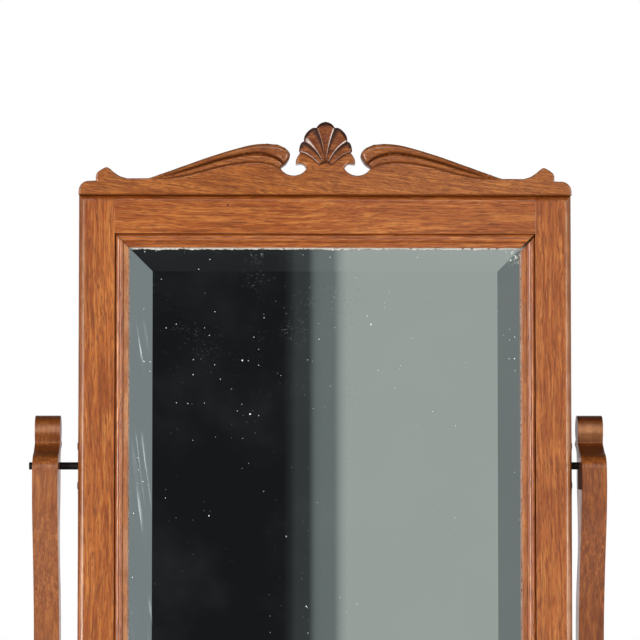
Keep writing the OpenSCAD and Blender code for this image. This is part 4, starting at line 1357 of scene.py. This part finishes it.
@dataclass
class SwingMirror:
    """The mirror's frame, moulding, glass and back. Bands of painted shade and highlight are in
    millimetres.
    """

    shop: Workshop
    eased: float = 0.0007
    bead_eased: float = 0.0004
    quirk_width: float = 0.32
    quirk_dark: float = 0.9
    inner_quirk: float = 0.35
    quirk_share: dict[str, float] = field(default_factory=lambda: {
        "glass_bead_left": 0.72, "glass_bead_right": 0.5, "glass_bead_top": 0.38,
        "glass_bead_bottom": 0.38})
    round_width: float = 7.6
    fillet_start: float = 0.4
    # how pale a highlight is painted along each moulding's fillet
    fillet_highlight: dict[str, float] = field(default_factory=lambda: {
        "glass_bead_left": 0.9, "glass_bead_right": 0.3})
    edge_highlight: dict[str, tuple[Point, ...]] = field(default_factory=lambda: {  # from edge, and how pale the painted highlight is
        "mirror_stile_left": (
            (0.0, 0.0), (2.4, 0.1), (3.2, 0.9), (4.4, 0.9), (5.2, 0.2), (6.0, 0.0)),
        "mirror_stile_right": (
            (0.0, 0.35), (2.4, 0.5), (3.6, 1.0), (4.8, 1.0), (5.6, 0.2), (6.2, 0.0))})
    top_fade: float = 5.6
    top_dark: float = 0.46
    rail_share: float = 0.5
    mitre_width: float = 0.8
    mitre_reach: float = 0.02  # in metres, like the two below
    mitre_gap: float = 0.0026
    nail: Point = (-0.0803, 1.6023)
    members: tuple[str, ...] = (
        "mirror_stile_left", "mirror_stile_right", "mirror_top_rail", "mirror_bottom_rail")
    beads: tuple[str, ...] = (
        "glass_bead_top", "glass_bead_bottom", "glass_bead_left", "glass_bead_right")

    def build(self) -> None:
        """Builds every piece that swings, apart from the crest."""
        for node in self.members + self.beads:
            piece = self.shop.soften(node, self.eased if node in self.members else self.bead_eased)
            nail = self.nail if node == "mirror_top_rail" else None
            finish = self.shop.oak(FRAME_OAK, self.shop.along(node), nail=nail)
            if node in self.beads:
                self.darken_quirks(piece, node)
            elif node != "mirror_bottom_rail":
                self.darken_top(piece, node)
            if node in self.edge_highlight:
                self.paint_highlight(piece, node, self.edge_highlight[node])
            if node == "glass_bead_right":
                self.open_mitre(piece, node)
            self.shop.fit(piece, node, finish)
        for node in ("mirror_back_board", "crest_dowels"):
            finish = self.shop.oak(INSIDE_OAK, Axis.Z)
            self.shop.fit(self.shop.soften(node, self.bead_eased), node, finish)
        self.glass()

    def darken_quirks(self, piece: bpy.types.Object, node: str) -> None:
        """Paints shade in the grooves beside a moulding's round and at its mitres, and a fillet
        highlight.

        Args:
            piece: The moulding.
            node: Its node.
        """
        mitred = self.mitre_shade(piece, node)
        across = measure(piece, Side.outer_gap(node))
        shade = trace(across, self.quirk_width)
        shade += trace(across - self.round_width, self.quirk_width) * self.inner_quirk
        shade = shade * self.quirk_share[node] + mitred
        set_values(piece.data, "hollow", np.clip(shade * self.quirk_dark, 0.0, 1.0))
        fillet = (self.round_width + self.fillet_start, self.fillet_highlight.get(node, 0.0))
        self.paint_highlight(piece, node, ((self.round_width, 0.0), fillet))

    def paint_highlight(self, piece: bpy.types.Object, node: str, profile: tuple[Point, ...]) -> None:
        """Paints a highlight on a piece's front, by how far it lies from its outer edge.

        Args:
            piece: The piece.
            node: Its node, whose name ends in the side on which its outer edge lies.
            profile: Pairs of a distance and how pale the painted highlight is there.
        """
        gap = Side.outer_gap(node)
        steps, pales = zip(*profile)
        paint_face_highlights(piece, lambda face: float(np.interp(gap(face.center), steps, pales))
                  if face.normal.y < -0.1 else 0.0)

    def mitre_shade(self, piece: bpy.types.Object, node: str) -> np.ndarray:
        """Cuts a narrow band beside each mitre of a moulding, and says how dark its points are.

        Args:
            piece: The moulding.
            node: Its node.

        Returns:
            One value for each of the piece's points.
        """
        low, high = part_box(node)
        glass_low, glass_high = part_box("mirror_glass")
        heart, middle = (glass_low + glass_high) / 2, (low + high) / 2
        x_out = low.x if middle.x < heart.x else high.x
        z_out = low.z if middle.z < heart.z else high.z
        ends = ([(x_out, low.z), (x_out, high.z)] if high.z - low.z > high.x - low.x
                else [(low.x, z_out), (high.x, z_out)])
        bm = bmesh.new()
        bm.from_mesh(piece.data)
        planes = []
        for x, z in ends:
            corner = Vector((x, 0.0, z))
            inward = Vector((math.copysign(1, heart.z - z), 0.0,
                             -math.copysign(1, heart.x - x))).normalized()
            if inward.dot(middle - corner) < 0:
                inward = -inward
            planes.append((corner, inward))
            bmesh.ops.bisect_plane(bm, geom=list(bm.verts) + list(bm.edges) + list(bm.faces),
                                   plane_co=corner + inward * self.mitre_width * MM,
                                   plane_no=inward, dist=1e-6)
        bm.to_mesh(piece.data)
        bm.free()
        shade = np.zeros(len(piece.data.vertices))
        for corner, inward in planes:
            away = measure(piece, lambda place: inward.dot(place - corner) / MM)
            shade = np.maximum(shade, np.clip(1.0 - away / self.mitre_width, 0.0, 1.0))
        return shade * self.quirk_dark

    def darken_top(self, piece: bpy.types.Object, node: str) -> None:
        """Paints the crest's shadow onto the frame's rounded upper edge, and clears rubbed edges
        there.

        Args:
            piece: The stile or rail.
            node: Its node.
        """
        gap = Side.TOP.gap(node)
        deep = self.top_dark * (self.rail_share if node == "mirror_top_rail" else 1.0)
        shade = np.clip(1.0 - (measure(piece, gap) / self.top_fade) ** 6, 0.0, 1.0) * deep
        set_values(piece.data, "hollow", shade)
        for value, face in zip(piece.data.attributes["edge"].data, piece.data.polygons):
            if gap(face.center) < self.top_fade:
                value.value = 0.0

    def open_mitre(self, piece: bpy.types.Object, node: str) -> None:
        """Shortens the right moulding at its top, where the mitre has opened.

        Args:
            piece: The right moulding.
            node: Its node, whose box gives its length.
        """
        low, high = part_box(node)
        for vert in piece.data.vertices:
            if vert.co.z > high.z - self.mitre_reach:
                inwards = (high.x - vert.co.x) / (high.x - low.x)
                vert.co.z -= self.mitre_gap * (0.55 + 0.45 * inwards)

    def glass(self) -> None:
        """The bevelled glass, with its finish set by what the moulding leaves open."""
        low = Vector((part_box("glass_bead_left")[1].x, 0.0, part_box("glass_bead_bottom")[1].z))
        high = Vector((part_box("glass_bead_right")[0].x, 0.0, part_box("glass_bead_top")[0].z))
        piece = self.shop.soften("mirror_glass", 0.0)
        for face in piece.data.polygons:
            face.use_smooth = False
        self.shop.fit(piece, "mirror_glass", OLD_MIRROR.material(self.shop.effects, low, high))


@dataclass
class Arms:
    """The two sawn arms and the rail between them."""

    shop: Workshop
    eased: float = 0.0011
    knob_shade: tuple[Point, ...] = (  # millimetres below the knob's top, and how much shade is painted there
        (0.0, 0.85), (4.0, 0.6), (8.0, 0.3), (10.5, 0.0), (13.5, 0.0), (16.0, 0.3), (22.0, 0.55),
        (24.5, 0.2), (27.5, 0.65), (34.0, 0.74), (37.5, 0.1), (39.0, 0.0))
    knob_highlight: dict[str, tuple[float, float, float]] = field(  # painted highlight: from, to, how pale
        default_factory=lambda: {"arm_left": (8.0, 16.0, 0.75), "arm_right": (4.0, 24.0, 0.95)})
    patch_drop: float = 0.0205
    patch_rise: float = 0.003
    patch_front: float = 0.05
    patch_back: float = 0.006
    patch_skin: Point = (0.001, 0.0006)

    def build(self) -> None:
        """Builds the arms and their rail."""
        for node, oak, axis in (("arm_left", LEFT_ARM_OAK, Axis.Z),
                                ("arm_right", RIGHT_ARM_OAK, Axis.Z),
                                ("arm_cross_rail", LEFT_ARM_OAK, Axis.X)):
            piece = self.shop.soften(node, self.eased, 3)
            if axis is Axis.Z:
                self.shade_knob(piece, node)
            stain = self.patch() if node == "arm_right" else None
            self.shop.fit(piece, node, self.shop.oak(oak, axis, stain=stain))

    def patch(self) -> tuple[Vector, Vector]:
        """The dark patch on the inner face of the right arm, around and below its pivot.

        Returns:
            Its lowest and highest corners.
        """
        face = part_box("arm_right")[0].x
        pin_low, pin_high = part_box("pivot_pin_right")
        middle = (pin_low + pin_high) / 2
        outside, within = self.patch_skin
        return (Vector((face - outside, middle.y - self.patch_front, middle.z - self.patch_drop)),
                Vector((face + within, middle.y + self.patch_back, middle.z + self.patch_rise)))

    def shade_knob(self, piece: bpy.types.Object, node: str) -> None:
        """Paints shade on the crown and neck of a knob, and a highlight across its front.

        Args:
            piece: The arm.
            node: Its node, whose box gives its top.
        """
        gap = Side.TOP.gap(node)
        set_values(piece.data, "hollow", np.interp(measure(piece, gap), *zip(*self.knob_shade)))
        start, end, pale = self.knob_highlight[node]

        def rubbed(face: bpy.types.MeshPolygon) -> float:
            """How pale a face is painted: most in the middle of the highlight band."""
            share = (gap(face.center) - start) / (end - start)
            return math.sin(share * math.pi) * pale if 0.0 < share < 1.0 else 0.0

        paint_face_highlights(piece, rubbed)


@dataclass
class Case:
    """Legs, case, drawer, door and shelves."""

    shop: Workshop
    eased: float = 0.0009
    shown: tuple[str, ...] = (
        "leg_front_left", "leg_front_right", "leg_back_left", "leg_back_right", "side_panel_left",
        "side_panel_right", "case_bottom", "drawer_divider", "front_top_rail", "apron_front",
        "apron_left", "apron_right", "top_board", "lower_shelf", "drawer_front", "door_stile_left",
        "door_stile_right", "door_top_rail", "door_bottom_rail", "door_panel")
    hidden: tuple[str, ...] = (
        "back_panel", "drawer_guides", "cupboard_shelf", "shelf_cleats", "drawer_side_left",
        "drawer_side_right", "drawer_back", "drawer_bottom")
    upright: tuple[str, ...] = ("side_panel_left", "side_panel_right", "back_panel")

    def build(self) -> None:
        """Builds every board of the case."""
        for node in self.shown + self.hidden:
            axis = Axis.Z if node in self.upright else self.shop.along(node)
            finish = self.shop.oak(CASE_OAK if node in self.shown else INSIDE_OAK, axis)
            self.shop.fit(self.shop.soften(node, self.eased), node, finish)


@dataclass
class Fittings:
    """Pins, plates, screws, hinges, pulls and the catch."""

    shop: Workshop
    eased: float = 0.00025
    crease: float = 30.0
    iron: tuple[str, ...] = (
        "pivot_plate_left", "pivot_plate_right", "pivot_plate_screws", "pivot_pin_left",
        "pivot_pin_right", "arm_screws")
    brass: tuple[str, ...] = (
        "hinge_leaves_case", "hinge_leaves_door", "hinge_pins", "pull_plates", "pull_bail_left",
        "pull_bail_right", "catch_knob", "back_board_screws")

    def build(self) -> None:
        """Builds every metal piece."""
        iron = BLACK_IRON.material(self.shop.effects)
        brass = OLD_BRASS.material(self.shop.effects)
        for node in self.iron + self.brass:
            piece = self.shop.soften(node, self.eased, crease=self.crease)
            self.shop.fit(piece, node, iron if node in self.iron else brass)


# ---------------------------------------------------------------------------------------------
# Studio


@dataclass
class PhotoCamera:
    """The camera, matched to the photograph at 640 by 640 pixels."""

    side: float = -0.0533
    back: float = -2.3744
    height: float = 1.3902
    focal_px: float = 2826.4
    pitch: float = 2.602
    yaw: float = 1.2455
    frame_px: float = 640.0
    sensor_mm: float = 36.0

    def build(self) -> None:
        """Makes the camera and sets it as the scene's own."""
        data = bpy.data.cameras.new("photo_camera")
        data.sensor_width = self.sensor_mm
        data.lens = self.focal_px / self.frame_px * self.sensor_mm
        camera = add_object("photo_camera", data)
        camera.location = (self.side, self.back, self.height)
        camera.rotation_euler = (math.radians(90.0 + self.pitch), 0.0, math.radians(-self.yaw))
        bpy.context.scene.camera = camera

    def across(self, pixel: float, plane: float, mirror: float) -> float:
        """Where the mirror shows a card behind the camera at a pixel column.

        Args:
            pixel: The column in the photograph.
            plane: The card's place along Y.
            mirror: The mirror's place along Y.

        Returns:
            The place on the card along X.
        """
        angle = math.atan((pixel - self.frame_px / 2) / self.focal_px) + math.radians(self.yaw)
        return self.side + math.tan(angle) * ((mirror - self.back) + (mirror - plane))


@dataclass(frozen=True)
class RoomBand:
    """One plain upright band of the generic room that the mirror shows."""

    name: str
    first: float  # pixel column at which the band begins, and the one at which it ends
    last: float
    tone: Tint


@dataclass(frozen=True)
class Lamp:
    """One soft lamp: its place, its width and height in metres, its power in watts and its aim."""

    name: str
    place: Place
    size: Point
    power: float
    aim: Place = (0.0, 0.0, 1.2)
    shines: bool = True  # whether polished faces show it

    def build(self) -> None:
        """Hangs the lamp and turns it to its aim."""
        data = bpy.data.lights.new(self.name, "AREA")
        data.shape = "RECTANGLE"
        data.size, data.size_y = self.size
        data.energy = self.power
        lamp = add_object(self.name, data)
        lamp.location = self.place
        lamp.visible_glossy = self.shines
        aim = Vector(self.aim) - Vector(self.place)
        lamp.rotation_euler = aim.to_track_quat("-Z", "Y").to_euler()


def make_panel(name: str, corners: list[Place], finish: bpy.types.Material) -> bpy.types.Object:
    """Makes a flat panel.

    Args:
        name: Its name.
        corners: Its four corners.
        finish: Its material.

    Returns:
        The panel.
    """
    mesh = bpy.data.meshes.new(name)
    mesh.from_pydata(corners, [], [(0, 1, 2, 3)])
    mesh.materials.append(finish)
    return add_object(name, mesh)


def level_square(reach: float, height: float) -> list[Place]:
    """The corners of a level square around the middle of the floor."""
    return [(x * reach, y * reach, height) for x, y in ((-1, -1), (1, -1), (1, 1), (-1, 1))]


@dataclass
class Studio:
    """Floor, lamps, white surroundings and the dim room that the mirror shows."""

    camera: PhotoCamera
    lamps: tuple[Lamp, ...] = (
        Lamp("lamp_front_left", (-1.35, -2.2, 1.35), (0.55, 1.9), 44.0),
        Lamp("lamp_front_right", (1.42, -2.3, 1.35), (0.32, 1.9), 22.0),
        Lamp("lamp_side_left", (-2.2, -0.7, 1.5), (0.8, 2.0), 8.0),
        Lamp("lamp_side_right", (2.2, -0.7, 1.5), (0.8, 2.0), 8.0),
        Lamp("lamp_top", (0.0, -2.0, 2.9), (1.2, 0.6), 6.0),
        Lamp("lamp_back", (0.6, 2.4, 1.8), (1.6, 1.6), 16.0, shines=False),
        Lamp("lamp_back_low", (0.3, 2.6, 0.8), (1.6, 1.0), 14.0, (0.0, 0.0, 0.7), False))
    room: tuple[RoomBand, ...] = (
        RoomBand("side_wall", 0.0, 20.0, tint(119, 126, 128)),
        RoomBand("dark_doorway", 70.0, 288.0, tint(23, 24, 26)),
        RoomBand("door_post", 294.0, 311.0, tint(51, 54, 56)),
        RoomBand("curtain", 316.0, 336.0, tint(100, 107, 106)),
        RoomBand("pale_wall", 343.0, 590.0, tint(153, 158, 155)),
        RoomBand("far_wall", 680.0, 700.0, tint(110, 115, 115)))
    looks: tuple[str, ...] = ("Is Camera Ray", "Is Transmission Ray", "Is Glossy Ray")
    card_place: float = -3.4
    card_reach: float = 1.7
    card_foot: float = -0.4
    card_top: float = 3.4
    ceiling: Point = (2.05, 2.35)  # heights between which the card grows lighter
    ceiling_lift: float = 0.014
    cloud: Point = (0.42, 0.75)
    cloud_lift: float = 0.010
    mirror_loss: float = 0.80
    fill_power: float = 0.16
    floor_reach: float = 9.0
    floor_tone: Tint = (0.86, 0.86, 0.86)
    floor_start: float = 1.0
    floor_end: float = 3.2
    floor_lift: float = 0.22
    flag_reach: float = 2.2
    flag_height: float = 3.4
    flag_tone: Tint = (0.03, 0.03, 0.03)

    def build(self) -> None:
        """Builds the whole studio."""
        self.world()
        self.floor()
        for lamp in self.lamps:
            lamp.build()
        self.flag()
        self.mirror_card()

    def seen(self, sheet: NodeSheet) -> Socket:
        """A mask that is 1 for the camera, reflections and glass, and 0 for other light."""
        rays = sheet.add("ShaderNodeLightPath").outputs
        return sheet.largest(*(rays[name] for name in self.looks))

    def world(self) -> None:
        """White for the camera and for reflections, and soft grey light on the object."""
        world = bpy.data.worlds.new("studio_white")
        bpy.context.scene.world = world
        world.use_nodes = True
        nodes = world.node_tree.nodes
        sheet = NodeSheet(world.node_tree)
        fill = nodes["Background"]
        sheet.put(fill, {"Color": WHITE, "Strength": self.fill_power})
        white = sheet.work("ShaderNodeBackground", {"Color": WHITE, "Strength": 1.0})[0]
        mixed = sheet.work("ShaderNodeMixShader", (self.seen(sheet), fill.outputs[0], white))[0]
        sheet.put(nodes["World Output"], {"Surface": mixed})

    def floor(self) -> None:
        """A wide pale floor that fades into the white surroundings."""
        made, sheet, shader = new_material("floor_white")
        out = sheet.length(sheet.where())
        sheet.put(shader, {
            "Base Color": self.floor_tone, "Roughness": 0.9,
            "Alpha": sheet.ramp(out, self.floor_end, self.floor_start), "Emission Color": WHITE,
            "Emission Strength": sheet.times(self.seen(sheet), self.floor_lift)})
        floor = make_panel("floor", level_square(self.floor_reach, 0.0), made)

    def flag(self) -> None:
        """A dark panel overhead, so that the tops of the carving don't wash out."""
        made, sheet, shader = new_material("flag_dark")
        sheet.put(shader, {"Base Color": self.flag_tone, "Roughness": 1.0})
        flag = make_panel("flag", level_square(self.flag_reach, self.flag_height), made)
        flag.visible_camera = False

    def mirror_card(self) -> None:
        """The dim room that the mirror shows, as a card behind the camera with soft bands."""
        made = bpy.data.materials.new("mirror_card")
        made.use_nodes = True
        nodes = made.node_tree.nodes
        nodes.remove(nodes["Principled BSDF"])
        sheet = NodeSheet(made.node_tree)
        place = sheet.where()
        x, _, z = sheet.split(place)
        spread = sheet.work("ShaderNodeMapRange", {
            "Value": x, "From Min": -self.card_reach, "From Max": self.card_reach})["Result"]
        bands = sheet.add("ShaderNodeValToRGB")
        sheet.put(bands, {"Fac": spread})
        self.paint_bands(bands.color_ramp.elements)
        high_up = sheet.ramp(z, *self.ceiling, self.ceiling_lift)
        hazy = sheet.ramp(sheet.noise(place, 5.0, 4.0, 0.6), *self.cloud, self.cloud_lift)
        lifted = sheet.blend(1.0, bands.outputs["Color"], sheet.math("ADD", high_up, hazy), "ADD")
        glow = sheet.work("ShaderNodeEmission", {"Color": lifted})[0]
        sheet.put(nodes["Material Output"], {"Surface": glow})
        corners = [(side * self.card_reach, self.card_place, height) for side, height in (
            (-1, self.card_foot), (1, self.card_foot), (1, self.card_top), (-1, self.card_top))]
        card = make_panel("mirror_card", corners, made)
        card.visible_camera = False
        card.visible_diffuse = False
        card.visible_shadow = False

    def paint_bands(self, points: bpy.types.ColorRampElements) -> None:
        """Sets the room's bands on a colour ramp across the card.

        Args:
            points: The ramp's points.
        """
        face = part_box("mirror_glass")[0].y
        stops = sorted((self.camera.across(column, self.card_place, face), band.tone)
                       for band in self.room for column in (band.first, band.last))
        while len(points) < len(stops):
            points.new(0.5)
        for point, (x, shown) in zip(points, stops):
            point.position = (x + self.card_reach) / (2 * self.card_reach)
            point.color = (*(min(1.0, c / self.mirror_loss) for c in shown), 1.0)


def main() -> None:
    """Builds the stand's looks and the studio."""
    logging.basicConfig(level=logging.INFO, format="%(message)s")
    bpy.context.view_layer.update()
    bpy.context.scene.view_settings.view_transform = "Standard"
    record = frame["record"]
    bodies = record["behaviour"]["bodies"]
    shop = Workshop(
        effects=EffectSet(build_grain_group(), build_wear_group(), build_speck_group()),
        node_body={node: body for body, nodes in bodies.items() for node in nodes},
        node_slot={row["node"]: row["material_slot"] for row in record["subparts"]})
    camera = PhotoCamera()
    camera.build()
    for part in (MirrorCrest, SwingMirror, Arms, Case, Fittings):
        part(shop).build()
    Studio(camera).build()


if __name__ == "__main__":
    main()
